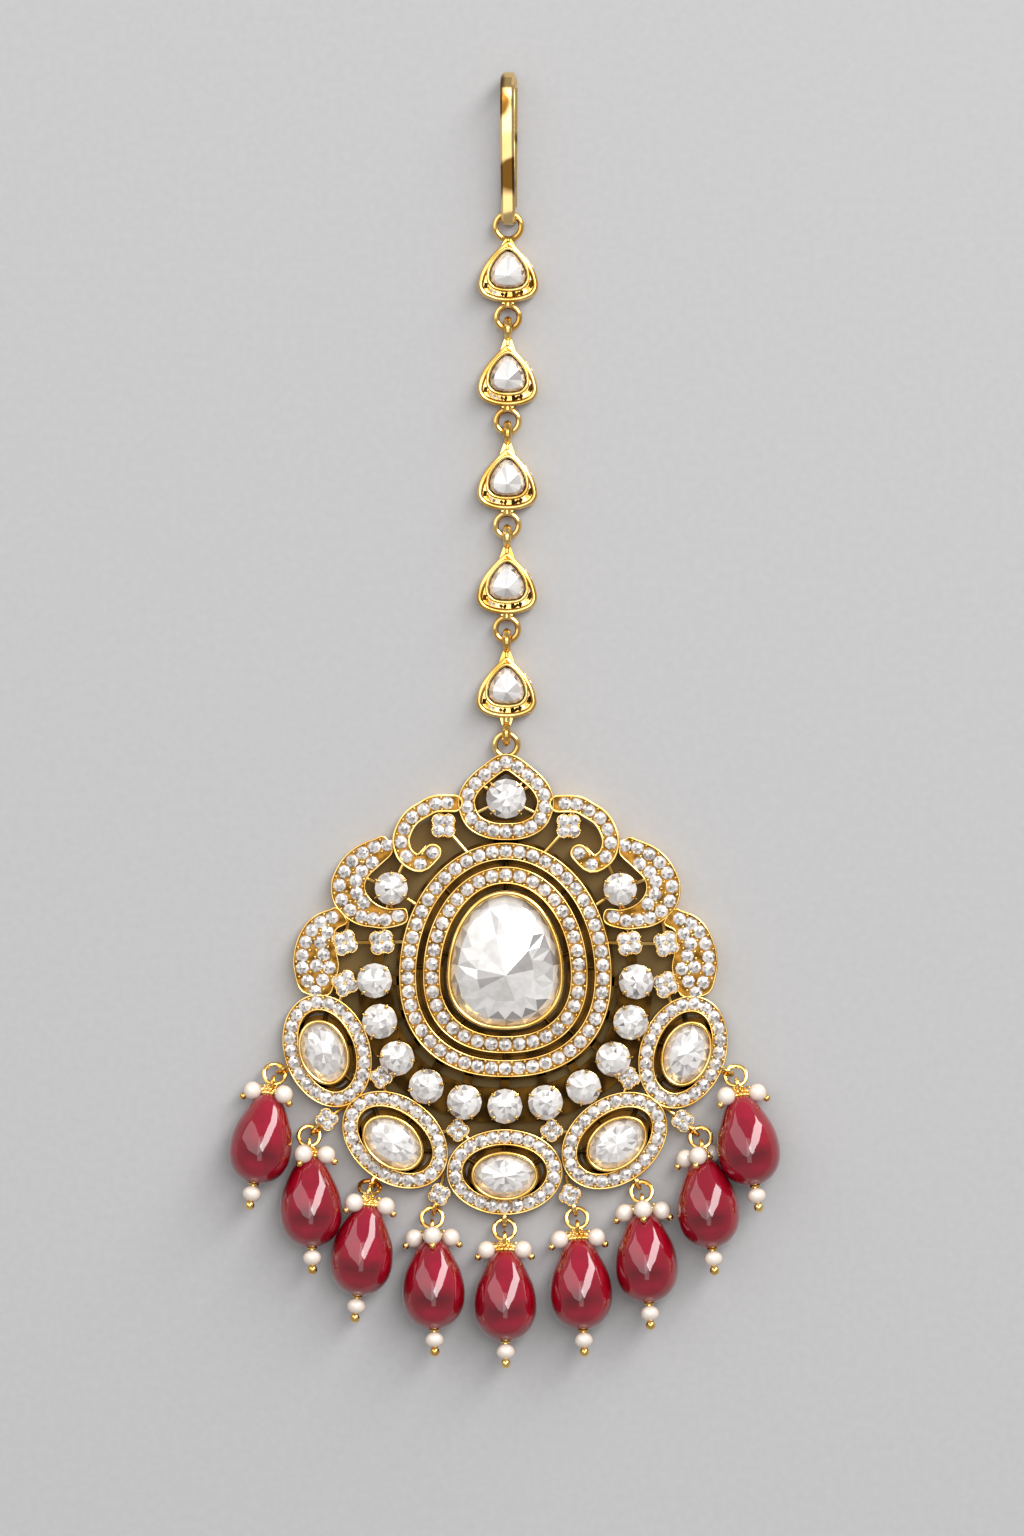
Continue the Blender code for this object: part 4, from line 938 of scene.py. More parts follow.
def cut_gem(loop, low, girdle, crown, rings, peak=0.0, star=0.0, twist=False, centre=None):
    """A cut stone on an outline: upright girdle, then rings of facets given as (share, rise share).

    Peak lifts the middle of the table to a point, star lifts the middle of each crown facet, and
    twist turns each ring by half a facet."""
    middle = centre or sum(loop, Vector((0, 0))) / len(loop)
    bm = bmesh.new()
    face = bm.faces.new([bm.verts.new((point.x, point.y, low)) for point in loop])
    if face.normal.z < 0:
        bmesh.ops.reverse_faces(bm, faces=[face])
    height = low
    last = 1.0
    for number, (share, rise) in enumerate([(1.0, 0.0)] + rings):
        grown = bmesh.ops.extrude_face_region(bm, geom=[face])
        if number:
            bmesh.ops.delete(bm, geom=[face], context="FACES_ONLY")
        verts = made(grown, bmesh.types.BMVert)
        face = made(grown, bmesh.types.BMFace)[0]
        target = low + girdle + crown * rise
        bmesh.ops.translate(bm, verts=verts, vec=(0, 0, target - height))
        height = target
        if number:
            scale = share / last
            last = share
            bmesh.ops.scale(bm, verts=verts, vec=(scale, scale, 1), space=at(-middle))
            if twist:
                turn = Matrix.Rotation(math.pi / len(loop), 3, "Z")
                bmesh.ops.rotate(bm, verts=verts, cent=(middle.x, middle.y, 0), matrix=turn)

    def level_and_turn(face):
        spot = face.calc_center_median()
        turn = (math.atan2(spot.y - middle.y, spot.x - middle.x) + 0.1) % (2 * math.pi)
        return 10 * round(spot.z * 1e6) + turn

    # The extrusions number their faces by chance, and the tones are drawn by number
    bm.faces.sort(key=level_and_turn)
    faces = bm.faces[:]
    face = faces[-1]
    crown_faces = faces[1 + len(loop):-1]
    if twist:
        bmesh.ops.triangulate(bm, faces=crown_faces)
    elif star:
        bmesh.ops.poke(bm, faces=crown_faces, offset=star, use_relative_offset=False)
    if peak:
        apex = bmesh.ops.poke(bm, faces=[face], offset=peak, use_relative_offset=False)["verts"][0]
        apex.co.x, apex.co.y = middle
    bmesh.ops.recalc_face_normals(bm, faces=bm.faces)
    return bm


def darkened(bm):
    """The same shape in the piece's second finish, the dark gold of painted shade."""
    for face in bm.faces:
        face.material_index = 1
    return bm


def railed_band(bm):
    """Cuts the channel for a stone row into the top of a band, leaving a rail along every edge."""
    upper = [face for face in bm.faces
             if face.normal.z > 0.9 and face.calc_center_median().z > BAND_HEIGHT - 1e-6]
    bmesh.ops.inset_region(bm, faces=upper, thickness=RAIL, use_boundary=True, use_even_offset=True)
    grown = bmesh.ops.extrude_face_region(bm, geom=upper)
    bmesh.ops.delete(bm, geom=upper, context="FACES")
    bmesh.ops.translate(bm, verts=made(grown, bmesh.types.BMVert), vec=(0, 0, -CHANNEL_DEPTH))
    # Channel floor in the darker gold of painted shade
    for face in made(grown, bmesh.types.BMFace):
        face.material_index = 2
    bmesh.ops.recalc_face_normals(bm, faces=bm.faces)
    edges = []
    for edge in bm.edges:
        level = all(abs(vert.co.z - BAND_HEIGHT) < 1e-6 for vert in edge.verts)
        if level and len(edge.link_faces) == 2 and edge.calc_face_angle(0) > math.radians(60):
            edges.append(edge)
    bmesh.ops.bevel(bm, geom=edges, offset=RAIL_ROUND, offset_type="OFFSET", affect="EDGES", segments=2,
                    profile=0.5, material=-1, clamp_overlap=True)
    return bm


# Pave rows, each stone and prong bead as its place and radius


PAVE = []
PRONGS = []


def set_row(places, width, closed):
    """Stones on the places of a row, with a pair of prong beads between each two."""
    PAVE.extend((place, PAVE_RADIUS) for place in places)
    for a, b in zip(places, places[1:] + places[:1] if closed else places[1:]):
        along = (b - a).normalized()
        across = Vector((-along.y, along.x)) * (width / 2 - RAIL - PRONG_RADIUS * 0.55)
        middle = (a + b) / 2
        PRONGS.extend([(middle + across, PRONG_RADIUS), (middle - across, PRONG_RADIUS)])


def pave_stone(radius):
    return cut_gem(circle(0, 0, radius, 8), 0, PAVE_RISE * 0.35, PAVE_RISE * 0.65, [(0.56, 1.0)],
                   peak=PAVE_RISE * 0.12, twist=True)


def pave_pieces():
    stones = bmesh.new()
    cuts = {radius: pave_stone(radius) for radius in {radius for _, radius in PAVE}}
    spin = random.Random(3)
    for place, radius in PAVE:
        turn = Matrix.Rotation(spin.random() * math.pi, 4, "Z")
        tip = Matrix.Rotation(math.radians(spin.uniform(-5, 5)), 4, "X")
        add_shape(stones, cuts[radius], at(place, PAVE_SEAT) @ turn @ tip, keep=True)
    tone_facets(stones, 11)
    tone = stones.faces.layers.float["facet_tone"]
    # Painted shade: the flat table of each stone is darkened
    for face in stones.faces:
        if face.normal.z > 0.9:
            face[tone] *= TABLE_SHADE
    make_piece("pave_stones", stones, ["pave"], angle=0)
    beads = bmesh.new()
    grains = {radius: ball(radius, 8, 5) for radius in {radius for _, radius in PRONGS}}
    for place, radius in PRONGS:
        add_shape(beads, grains[radius], at(place, BAND_HEIGHT - PRONG_SUNK), keep=True)
    make_piece("prong_beads", beads, ["polished"], angle=180)


# Medallion


def set_flower(metal, place, radius, turn):
    """A square cluster of four small stones in a scalloped cup, with beads round its rim."""
    reach = radius * 0.62
    stone = radius * 0.53
    add_shape(metal, plate([circle(place.x, place.y, radius * 0.75, 16)], 0, BAND_HEIGHT - 0.5 * MM))
    for i in range(4):
        angle = turn + math.pi / 2 * i
        spot = place + Vector((math.cos(angle), math.sin(angle))) * reach
        add_shape(metal, plate([circle(spot.x, spot.y, stone + 0.05 * MM, 16)], 0, BAND_HEIGHT - 0.36 * MM))
        PAVE.append((spot, stone))
        for side, out in ((math.pi / 4, 0.92), (-0.4, 1.08), (0.4, 1.08)):
            edge = Vector((math.cos(angle + side), math.sin(angle + side)))
            PRONGS.append((place + edge * radius * out, FLOWER_PRONG))
    PRONGS.append((place, FLOWER_PRONG))


def claw_shape(radius, claws):
    """Collar and claws that hold a round stone of this radius."""
    bm = bmesh.new()
    girdle = CLAW_SEAT + CLAW_STONE_HEIGHT * 0.4
    add_shape(bm, hoop(radius * 0.93, CLAW_WIRE, at((0, 0), CLAW_SEAT - 0.12 * MM), 32, 8))
    add_shape(bm, plate([circle(0, 0, radius * 0.82, 20)], 0.2 * MM, BAND_HEIGHT))
    for i in range(claws):
        angle = 2 * math.pi * (i + 0.5) / claws
        route = []
        for reach, height in ((radius * 0.86, 0.9 * MM), (radius + 0.16 * MM, CLAW_SEAT - 0.5 * MM),
                              (radius + 0.2 * MM, girdle), (radius + 0.04 * MM, girdle + 0.3 * MM),
                              (radius - 0.22 * MM, girdle + 0.4 * MM)):
            route.append((math.cos(angle) * reach, math.sin(angle) * reach, height))
        add_shape(bm, wires([route], CLAW_WIRE * 0.75, 6))
        add_shape(bm, ball(CLAW_WIRE, 8, 6), Matrix.Translation(route[-1]))
    return bm


def anticlockwise(loop):
    closed = list(loop) + [loop[0]]
    area = sum(a[0] * b[1] - b[0] * a[1] for a, b in zip(closed, closed[1:]))
    return list(loop) if area > 0 else list(reversed(loop))


def shade_sheet(metal, outline, hole=None, grow=SHADE_SHEET_GROW):
    """A dark sheet of painted shade that stands out a little from a setting near its back."""
    loops = [inset(anticlockwise(outline), -grow)]
    if hole:
        loops.append(inset(anticlockwise(hole), SHADE_SHEET_GROW))
    add_shape(metal, darkened(plate(loops, 0, SHADE_SHEET_HEIGHT)))


def row_band(metal, outline, hole=None, grow=0.0):
    """A band with a channel for stones in its top; where it has a hole, it stands on a dark sheet of painted
    shade.
    """
    add_shape(metal, railed_band(plate([outline, hole] if hole else [outline], 0, BAND_HEIGHT)))
    if hole:
        shade_sheet(metal, outline, hole, grow)


def stone_bands(metal):
    """Egg rings, top halo, scrolls, petals and lobes, each with its rows of stones."""
    half = ROW_WIDTH / 2
    for line, count in ((0, OUTER_ROW_STONES), (INNER_ROW, INNER_ROW_STONES)):
        row_band(metal, egg_loop(line + half, EGG_SIDES), egg_loop(line - half, EGG_SIDES), SHADE_SHEET_GROW)
        set_row(egg_loop(line, count), ROW_WIDTH, True)
    route = top_halo_route()
    row_band(metal, inset(route, -half), inset(route, half))
    set_row(even_places(route, TOP_HALO_STONES), ROW_WIDTH, True)
    scroll = smooth_route([share_point(x, y) for x, y in SCROLL], STEPS)
    outlines = (ribbon(scroll, half), between(PETAL_OUTER, PETAL_EDGE, half),
                between(LOBE_OUTER, LOBE_EDGE, half))
    for side in (1, -1):
        for outline in outlines:
            row_band(metal, outline if side > 0 else mirrored(outline))
        for row in STONE_ROWS:
            set_row([Vector((side * x * MM, y * MM)) for x, y in row], ROW_WIDTH, False)


def oval_settings(metal):
    """Oval halos, each round a bezel on a dark sheet of painted shade and joined to it by short bars in the
    dark gold of painted shade.
    """
    half = HALO_ROW_WIDTH / 2
    wall = OVAL_BEZEL_WALL / 2
    for _, x, y, lean in OVALS:
        place = oval_frame(x, y, lean)
        shift = outward_shift(place)
        row_band(metal, oval_loop(place, OVAL_SHORT + half, OVAL_LONG + half, 64),
                 oval_loop(place, OVAL_SHORT - half, OVAL_LONG - half, 64))
        row = even_places(oval_loop(place, OVAL_SHORT, OVAL_LONG, 180), HALO_STONES)
        set_row(row, HALO_ROW_WIDTH, True)
        line = oval_loop(place, OVAL_BEZEL_SHORT - wall, OVAL_BEZEL_LONG - wall, 48, shift)
        add_wall(metal, line, wall, OVAL_BEZEL_HEIGHT, OVAL_BEZEL_ROUND)
        add_shape(metal, plate([line], 0, OVAL_FLOOR))
        shade_sheet(metal, line, grow=OVAL_SHADE_SHEET_GROW)
        pairs = []
        for turn in OVAL_STRUT_TURNS:
            angle = math.atan2(-shift.y, -shift.x) + math.radians(turn) - math.radians(lean)
            near = Vector((OVAL_BEZEL_SHORT * math.cos(angle), OVAL_BEZEL_LONG * math.sin(angle), 0)) * 0.95
            far = Vector((OVAL_SHORT * math.cos(angle), OVAL_LONG * math.sin(angle), 0))
            pairs.append(((place @ near + shift).to_2d(), (place @ far).to_2d()))
        add_shape(metal, darkened(level_wires(pairs, BAR_WIRE, OVAL_BAR_HEIGHT)))


def centre_setting(metal):
    """Tall centre bezel on a dark sheet of painted shade, and the bars, in the dark gold of painted shade,
    that join the egg rings to it.
    """
    wall = CENTRE_BEZEL_WALL / 2
    line = egg_loop(CENTRE_BEZEL - wall, EGG_SIDES)
    add_wall(metal, line, wall, CENTRE_BEZEL_HEIGHT, CENTRE_BEZEL_ROUND)
    add_shape(metal, plate([line], 0, CENTRE_FLOOR))
    shade_sheet(metal, line)
    pairs = []
    for turns, outer, inner in ((OUTER_BARS, 0, INNER_ROW), (INNER_BARS, INNER_ROW, CENTRE_BEZEL - wall)):
        for turn in turns:
            pairs.append((egg_point(math.radians(turn), outer), egg_point(math.radians(turn), inner)))
    add_shape(metal, darkened(level_wires(pairs, BAR_WIRE, RING_BAR_HEIGHT)))


def supports(metal, places):
    """Struts between the settings, and low down dark sheets of painted shade: a band along the round stones
    with spokes from them, and a strip between the egg rings and the top halo.
    """
    pairs = []
    for x0, y0, x1, y1 in STRUTS:
        pairs += list(zip(both_sides(x0, y0), both_sides(x1, y1)))
    add_shape(metal, level_wires(pairs, STRUT_WIRE, STRUT_HEIGHT))
    pairs = [(place, egg_point(bearing(place), 0)) for place in places]
    for place, flower in ((places[0], "inner"), (places[2], "side_nook"), (places[4], "low_nook")):
        x, y, _ = FLOWERS[flower]
        pairs += [(place, share_point(-x, y)), (Vector((-place.x, place.y)), share_point(x, y))]
    pairs.append((places[5], share_point(*OVALS[2][1:3]) + Vector((0, OVAL_SHORT))))
    outlines = [ribbon(smooth_route(places, STEPS), SHADE_BAND_WIDTH / 2)]
    outlines += [ribbon(pair, SPOKE_HALF) for pair in pairs]
    for outline in outlines:
        add_shape(metal, darkened(plate([outline], SHADE_BAND_LOW, SHADE_SHEET_HEIGHT)))
    neck = [Vector((0, EGG_CENTRE_Y + EGG_UP)), Vector((0, TOP_HALO_Y - TOP_HALO_DOWN))]
    outline = sideways(neck, NECK_HALF) + list(reversed(sideways(neck, -NECK_HALF)))
    add_shape(metal, darkened(plate([outline], 0, SHADE_SHEET_HEIGHT)))


def medallion_metal():
    metal = bmesh.new()
    places = round_stone_places()
    stone_bands(metal)
    oval_settings(metal)
    centre_setting(metal)
    supports(metal, places)
    for number, (x, y, radius) in enumerate(FLOWERS.values()):
        for place in both_sides(x, y):
            set_flower(metal, place, radius, math.radians(45 + 9 * number))
    turned_out = [at(place) @ Matrix.Rotation(bearing(place), 4, "Z") for place in places]
    add_copies(metal, claw_shape(ROUND_STONE_RADIUS, 4), turned_out)
    add_copies(metal, claw_shape(TOP_STONE_RADIUS, 4), [at((0, TOP_STONE_Y))])
    x, y = PETAL_STONE
    add_copies(metal, claw_shape(PETAL_STONE_RADIUS, 6), [at((-x, y)), at((x, y))])
    add_shape(metal, hoop(RING_RADIUS, LINK_WIRE, at((0, TOP_RING_Y), LINK_MIDDLE)))
    for ring_frame, eye_turn, _, _ in drop_frames():
        place = upright(ring_frame @ Matrix.Rotation(eye_turn, 4, "Z"), JUMP_RADIUS)
        add_shape(metal, hoop(EYE_RADIUS, EYE_WIRE, place, 24, 8))
    make_piece("medallion_setting", metal, ["polished", "painted_shade", "channel"],
               ["medallion_frame"])


def set_gem(name, gem, node, seed, flecks=0.0, pairs=False, finish="crystal"):
    """Gives a cut stone the tones of its facets and makes it a piece."""
    tone_facets(gem, seed, flecks, pairs)
    make_piece(name, gem, [finish], [node], angle=0)


def set_stones():
    """The large cut stones of the medallion."""
    loop = egg_loop(CENTRE_BEZEL - CENTRE_BEZEL_WALL + FIT, 20)
    gem = cut_gem(loop, CENTRE_FLOOR + STONE_GAP, CENTRE_GIRDLE, CENTRE_STONE_HEIGHT - CENTRE_GIRDLE,
                  [(0.88, 0.42), (0.52, 0.76)], peak=0.27 * CENTRE_STONE_HEIGHT, star=0.05 * MM,
                  centre=Vector((0, -1.6 * MM)))
    set_gem("centre_crystal", gem, "centre_stone", 5, pairs=True, finish="centre")
    x, y = PETAL_STONE
    rounds = [("top", Vector((0, TOP_STONE_Y)), TOP_STONE_RADIUS, "top_stone"),
              ("petal_left", Vector((-x, y)), PETAL_STONE_RADIUS, "petal_stone_left"),
              ("petal_right", Vector((x, y)), PETAL_STONE_RADIUS, "petal_stone_right")]
    for number, place in enumerate(round_stone_places(), 1):
        rounds.append((f"round_{number:02d}", place, ROUND_STONE_RADIUS, f"round_stone_{number:02d}"))
    for number, (name, place, radius, node) in enumerate(rounds):
        gem = cut_gem(circle(place.x, place.y, radius, 12), CLAW_SEAT, CLAW_STONE_HEIGHT * 0.3,
                      CLAW_STONE_HEIGHT * 0.7, [(0.74, 0.55), (0.4, 0.86)], peak=0.14 * CLAW_STONE_HEIGHT,
                      twist=True)
        set_gem(f"{name}_crystal", gem, node, 20 + number, flecks=0.02)
    grow = OVAL_BEZEL_WALL - FIT
    for number, (name, x, y, lean) in enumerate(OVALS):
        place = oval_frame(x, y, lean)
        loop = oval_loop(place, OVAL_BEZEL_SHORT - grow, OVAL_BEZEL_LONG - grow, 14, outward_shift(place))
        gem = cut_gem(loop, OVAL_FLOOR + STONE_GAP, OVAL_GIRDLE, OVAL_STONE_HEIGHT - OVAL_GIRDLE,
                      [(0.76, 0.55), (0.38, 0.9)], peak=0.1 * OVAL_STONE_HEIGHT, star=0.02 * MM)
        set_gem(name.replace("stone", "crystal"), gem, name, 40 + number)


# Chain and hook


def chips(metal, line, middle):
    """Small uneven bits worked into the channel of a tray, round its lower and right sides."""
    luck = random.Random(7)
    for place in even_places(line, CHIP_PLACES):
        angle = math.degrees(math.atan2(place.y - middle.y, place.x - middle.x))
        if not -165 < angle < 48:
            continue
        bit = bmesh.new()
        bmesh.ops.create_cube(bit, size=CHIP)
        # Bits in polished gold, in the dark gold of painted shade, or in crystal
        kind = luck.choice((0, 1, 1, 2, 2))
        for face in bit.faces:
            face.material_index = kind
        grow = Matrix.Diagonal((luck.uniform(0.7, 1.5), luck.uniform(0.6, 1.2), 1.0, 1.0))
        turn = Matrix.Rotation(math.radians(angle + luck.uniform(60, 120)), 4, "Z")
        tip = Matrix.Rotation(math.radians(luck.uniform(-18, 18)), 4, "X")
        add_shape(metal, bit, at(place, CHIP_HEIGHT) @ turn @ tip @ grow)


def tray(metal, top):
    """Tray of a link with its bezel and the chips round it; gives back the bezel's outline."""
    rim = inset(shield_loop(TRAY_OUTLINE, top, TRAY_HALF_WIDTH, TRAY_LENGTH), RIM_HALF)
    add_wall(metal, rim, RIM_HALF, TRAY_HEIGHT, TRAY_RIM_ROUND)
    add_shape(metal, plate([rim], 0, TRAY_BED))
    wall = shield_loop(STONE_OUTLINE, top - TRAY_BEZEL_TOP, TRAY_BEZEL_HALF_WIDTH, TRAY_BEZEL_LENGTH)
    chips(metal, inset(wall, -CHIP_ROW), Vector((0, top - 0.6 * TRAY_LENGTH)))
    line = inset(wall, TRAY_BEZEL_WALL / 2)
    add_wall(metal, line, TRAY_BEZEL_WALL / 2, TRAY_BEZEL_HEIGHT, TRAY_BEZEL_ROUND)
    # Dark bed of painted shade under the stone, seen as a dark line round it
    add_shape(metal, darkened(plate([line], 0, DARK_BED)))
    return wall


def joint(metal, centre, radius):
    """Ring or loop at one end of a link: the loop stands on edge and is the smaller and thicker one."""
    place = at((0, centre), LINK_MIDDLE)
    if radius == LOOP_RADIUS:
        add_shape(metal, hoop(radius, LOOP_WIRE, upright(place, 0)))
    else:
        add_shape(metal, hoop(radius, LINK_WIRE, place))


def web(metal, y0, half0, y1, half1, low, high):
    """A tapered web that joins a joint to its tray."""
    add_shape(metal, plate([[(half0, y0), (-half0, y0), (-half1, y1), (half1, y1)]], low, high))


def link_joints(metal, number, top):
    """Joints at both ends of a link, with the webs and the rods that hold them to the tray."""
    bottom = top - TRAY_LENGTH
    centre, radius = top + TRAY_TO_LOOP - RING_RADIUS, LOOP_RADIUS
    if number == 1:
        centre, radius = hook_ring_middle(), HOOK_RING_RADIUS
    joint(metal, centre, radius)
    base = centre - radius
    web(metal, base, 0.34 * MM, top - 0.8 * MM, 0.95 * MM, 0.4 * MM, 1.8 * MM)
    centre, radius = bottom - TRAY_TO_RING, RING_RADIUS
    if number == CHAIN_LINKS:
        centre, radius = TOP_RING_Y + RING_RADIUS, LOOP_RADIUS
    joint(metal, centre, radius)
    reach = centre + radius
    web(metal, bottom + 0.3 * MM, 0.85 * MM, reach - 0.1 * MM, 0.5 * MM, 0.6 * MM, 1.5 * MM)
    rods = [[(0, base, LINK_MIDDLE), (0, top - TRAY_BEZEL_TOP, LINK_MIDDLE)],
            [(0, reach, LINK_MIDDLE), (0, bottom + 0.6 * MM, LINK_MIDDLE)]]
    add_shape(metal, wires(rods, NECK_WIRE, 12))


def chain():
    for number, top in enumerate(tray_tops(), 1):
        metal = bmesh.new()
        wall = tray(metal, top)
        link_joints(metal, number, top)
        tone_facets(metal, 80 + number)
        make_piece(f"link_setting_{number}", metal, ["polished", "painted_shade", "pave"],
                   [f"chain_setting_{number}"])
        loop = even_places(inset(wall, TRAY_BEZEL_WALL + LINK_STONE_SPACE), 16)
        gem = cut_gem(loop, TRAY_FLOOR + STONE_GAP + 0.1 * MM, LINK_GIRDLE, TRAY_STONE_HEIGHT - 0.8 * MM,
                      [(0.78, 0.55)], peak=0.4 * TRAY_STONE_HEIGHT, star=0.02 * MM,
                      centre=Vector((0, top - 0.58 * TRAY_LENGTH)))
        set_gem(f"link_crystal_{number}", gem, f"chain_stone_{number}", 60 + number, 0.03, pairs=True)


def hair_hook():
    half = HOOK_THICKNESS / 2
    ring = hook_ring_middle()
    inner = HOOK_RING_OUTER - 2 * LINK_WIRE
    under = LINK_MIDDLE - LINK_WIRE - LINK_GAP - half
    over = LINK_MIDDLE + LINK_WIRE + LINK_GAP + half
    dip = ring + inner - LINK_GAP - half
    top = ring + HOOK_LENGTH
    high = HOOK_INNER_GAP + 1.5 * HOOK_THICKNESS
    bend = (high - half) / 2
    tip_end = ring + HOOK_RING_OUTER - HOOK_END_SPACE
    route = [Vector((tip_end, under))]
    for along, rise in HOOK_CURL_LOW:
        route.append(Vector((dip + along * HOOK_THICKNESS, under + rise * HOOK_THICKNESS)))
    route.append(Vector((dip, LINK_MIDDLE)))
    for along, rise in HOOK_CURL_HIGH:
        route.append(Vector((dip + along * HOOK_THICKNESS, over + rise * HOOK_THICKNESS)))
    straight = top - half - bend
    for share in HOOK_RISE:
        reach = tip_end + share * (straight - tip_end)
        rise = over + (high - over) * math.sin(share * math.pi / 2)
        route.append(Vector((reach, rise)))
    for step in range(1, 12):
        turn = math.pi / 2 - step * math.pi / 12
        route.append(Vector((straight + bend * math.cos(turn), half + bend + bend * math.sin(turn))))
    route.append(Vector((straight, half)))
    route.append(Vector((tip_end + HOOK_TIP_SPACE, half)))
    wide = HOOK_WIDTH / 2
    section = []
    for x, y, first in ((1, 1, 0), (-1, 1, 1), (-1, -1, 0), (1, -1, 1)):
        corners = [(x * half, y * (wide - HOOK_CHAMFER)), (x * (half - HOOK_CHAMFER), y * wide)]
        section += reversed(corners) if first else corners
    bm = sweep(route, section)
    bm.transform(Matrix(((0, 0, 1, 0), (1, 0, 0, 0), (0, 1, 0, 0), (0, 0, 0, 1))))
    for vert in bm.verts:
        vert.co.x += (over - vert.co.z) * HOOK_LEAN
    bmesh.ops.recalc_face_normals(bm, faces=bm.faces)
    make_piece("hair_hook", bm, ["hook"], ["hook"], angle=40)


# Drops


def glass_drop_shape():
    profile = [(max(radius * BEAD_RADIUS, BEAD_BORE), BEAD_TOP - depth * BEAD_LENGTH)
               for radius, depth in BEAD_PROFILE]
    rows = [(point.x, point.y) for point in smooth_route(profile, 3)]
    rows += [(BEAD_BORE, rows[-1][1]), (BEAD_BORE, rows[0][1]), rows[0]]
    glass = turned(rows, 48)
    layer = glass.verts.layers.float.new("drop_depth")
    for vert in glass.verts:
        vert[layer] = (BEAD_TOP - vert.co.y) / BEAD_LENGTH
    return glass


def round_axis(share, reach, height):
    """A place round a drop's own axis, at a share of a full turn."""
    angle = 2 * math.pi * share
    return Vector((math.cos(angle) * reach, height, math.sin(angle) * reach))


def headpin_shapes():
    """Metal of a drop's pin: eye, wrapped and granulated neck, end ball."""
    bm = bmesh.new()
    end_ball = END_PEARL_Y - END_PEARL_RADIUS * END_PEARL_SQUASH - END_BALL_RADIUS * 0.75
    add_shape(bm, hoop(EYE_RADIUS, EYE_WIRE, upright(Matrix.Identity(4), PIN_EYE_REACH), 28, 8))
    add_shape(bm, wires([[(0, PIN_EYE_REACH - EYE_RADIUS, 0), (0, END_PEARL_Y, 0)]], PIN_WIRE, 10))
    strands = []
    for i in range(NECK_STRANDS):
        strand = []
        for share in (0, 0.2, 0.4, 0.6, 0.8, 1):
            turn = i / NECK_STRANDS + 0.5 * share / (2 * math.pi)
            reach = (0.46 + 0.52 * share ** 1.5) * MM
            strand.append(round_axis(turn, reach, NECK_TOP + (NECK_FOOT - NECK_TOP) * share))
        strands.append(strand)
    add_shape(bm, wires(strands, WRAP_WIRE, 6))
    for height, reach, radius, count in GRANULES:
        spots = [round_axis((i + 0.5) / count, reach * MM, BEAD_TOP + height * MM) for i in range(count)]
        add_copies(bm, ball(radius * MM, 10, 7), [Matrix.Translation(spot) for spot in spots])
    flat = Matrix.Rotation(math.pi / 2, 4, "X")
    for height, reach in ((BEAD_TOP + 0.5 * MM, 0.78 * MM), (-BEAD_BOTTOM - 0.12 * MM, 0.52 * MM)):
        add_shape(bm, hoop(reach, FINE_WIRE, at((0, height)) @ flat, 24, 8))
    add_shape(bm, ball(END_BALL_RADIUS, 20, 12), at((0, end_ball)))
    return bm


def add_sprig(metal, pearls, pearl, sprig, bead_frame):
    """Small pearls round a drop's neck, each on a stem with a coil and a ball."""
    start = Vector((0, SPRIG_START, 0))
    for side, down, out in SPRIGS[sprig]:
        place = Vector((side * NECK_PEARL_SIDE, PIN_EYE_REACH + JUMP_RADIUS - down * NECK_PEARL_DROP,
                        out * NECK_PEARL_SIDE))
        add_shape(pearls, pearl, bead_frame @ Matrix.Translation(place), keep=True)
        stem = [start, start.lerp(place, 0.4) + Vector((0, 0.2 * MM, 0)), place]
        add_shape(metal, wires([stem], SPRIG_WIRE, 6), bead_frame)
        coil = start.lerp(place, 0.5) + Vector((0, 0.3 * MM, 0))
        add_shape(metal, hoop(0.34 * MM, FINE_WIRE, bead_frame @ Matrix.Translation(coil), 14, 6))
        if out >= 0:
            away = Vector((side, -0.85, out * 0.3)).normalized()
            knob = place + away * (NECK_PEARL_RADIUS + 0.18 * MM)
            add_shape(metal, ball(SPRIG_BALL, 16, 10), bead_frame @ Matrix.Translation(knob))


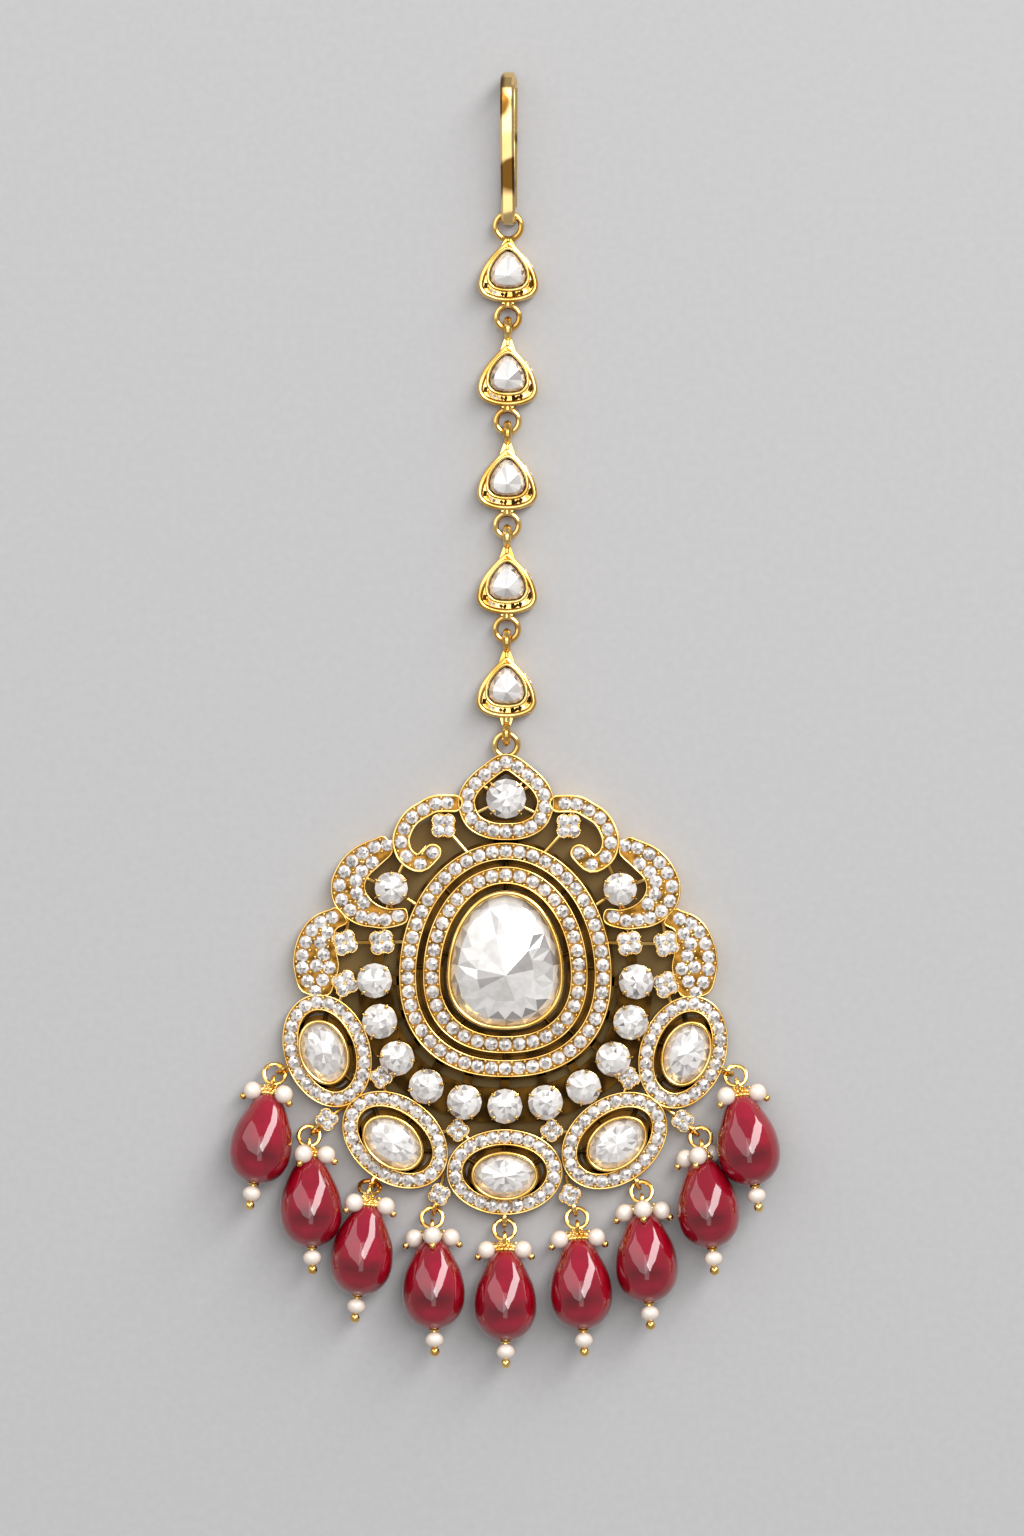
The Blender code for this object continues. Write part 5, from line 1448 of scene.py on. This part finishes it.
def drops():
    pin = headpin_shapes()
    glass = glass_drop_shape()
    ring = hoop(JUMP_RADIUS, JUMP_WIRE, Matrix.Identity(4))
    pearl = ball(NECK_PEARL_RADIUS)
    for number, (ring_frame, _, bead_frame, sprig) in enumerate(drop_frames(), 1):
        metal = bmesh.new()
        add_shape(metal, ring, ring_frame, keep=True)
        make_piece(f"jump_ring_{number}", metal, ["wire"], [f"drop_ring_{number}"])
        metal = bmesh.new()
        pearls = bmesh.new()
        add_shape(metal, pin, bead_frame, keep=True)
        add_sprig(metal, pearls, pearl, sprig, bead_frame)
        add_shape(pearls, ball(END_PEARL_RADIUS, squash=END_PEARL_SQUASH), bead_frame @ at((0, END_PEARL_Y)))
        make_piece(f"headpin_{number}", metal, ["wire"], [f"drop_pin_{number}"])
        make_piece(f"small_pearls_{number}", pearls, ["pearl"], [f"drop_pin_{number}"],
                   angle=180)
        body = bmesh.new()
        add_shape(body, glass, bead_frame, keep=True)
        make_piece(f"glass_drop_{number}", body, ["ruby"], [f"drop_bead_{number}"],
                   angle=50)
    for shape in (pin, glass, ring, pearl):
        shape.free()


# Setting


def studio():
    bm = bmesh.new()
    bmesh.ops.create_grid(bm, x_segments=8, y_segments=8, size=1.2)
    mesh = bpy.data.meshes.new("floor")
    bm.to_mesh(mesh)
    bm.free()
    mesh.materials.append(FINISHES["floor"])
    floor = scrap_object("floor", mesh)

    world = bpy.data.worlds.new("studio")
    world.use_nodes = True
    world.node_tree.nodes["Background"].inputs["Color"].default_value = linear("#F6F6F8")
    world.node_tree.nodes["Background"].inputs["Strength"].default_value = 0.42
    SCENE.world = world

    # A long bright strip on the right, a broad dim sheet on the left
    for name, place, width, height, power_w in (("strip", (0.53, 0.62, 0.73), 0.4, 1.9, 17.5),
                                                ("sheet", (-0.5, 0.4, 0.75), 0.66, 1.7, 5.0),
                                                ("ceiling", (0.0, 0.02, 1.1), 0.32, 1.2, 1.35)):
        light = bpy.data.lights.new(name, "AREA")
        light.shape = "RECTANGLE"
        light.size = width
        light.size_y = height
        light.energy = power_w
        item = scrap_object(name, light)
        item.location = place
        item.rotation_euler = (-Vector(place)).to_track_quat("-Z", "Y").to_euler()

    camera = bpy.data.cameras.new("camera")
    camera.sensor_width = 36
    camera.lens = 36 * CAMERA_HEIGHT / VIEW_WIDTH
    camera.clip_start = 0.01
    item = scrap_object("camera", camera)
    item.location = (0.69 * MM, 23.16 * MM, CAMERA_HEIGHT)
    item.rotation_euler = (0, 0, math.radians(0.22))
    SCENE.camera = item
    SCENE.view_settings.view_transform = "Standard"


def main():
    FINISHES.update({finish: gold_finish(*values) for finish, values in GOLDS.items()})
    FINISHES.update({finish: crystal_finish(*values) for finish, values in CRYSTALS.items()})
    FINISHES.update(ruby=ruby_glass(), pearl=pearl_finish(), floor=paper_floor())
    hair_hook()
    chain()
    medallion_metal()
    pave_pieces()
    set_stones()
    drops()
    studio()


main()
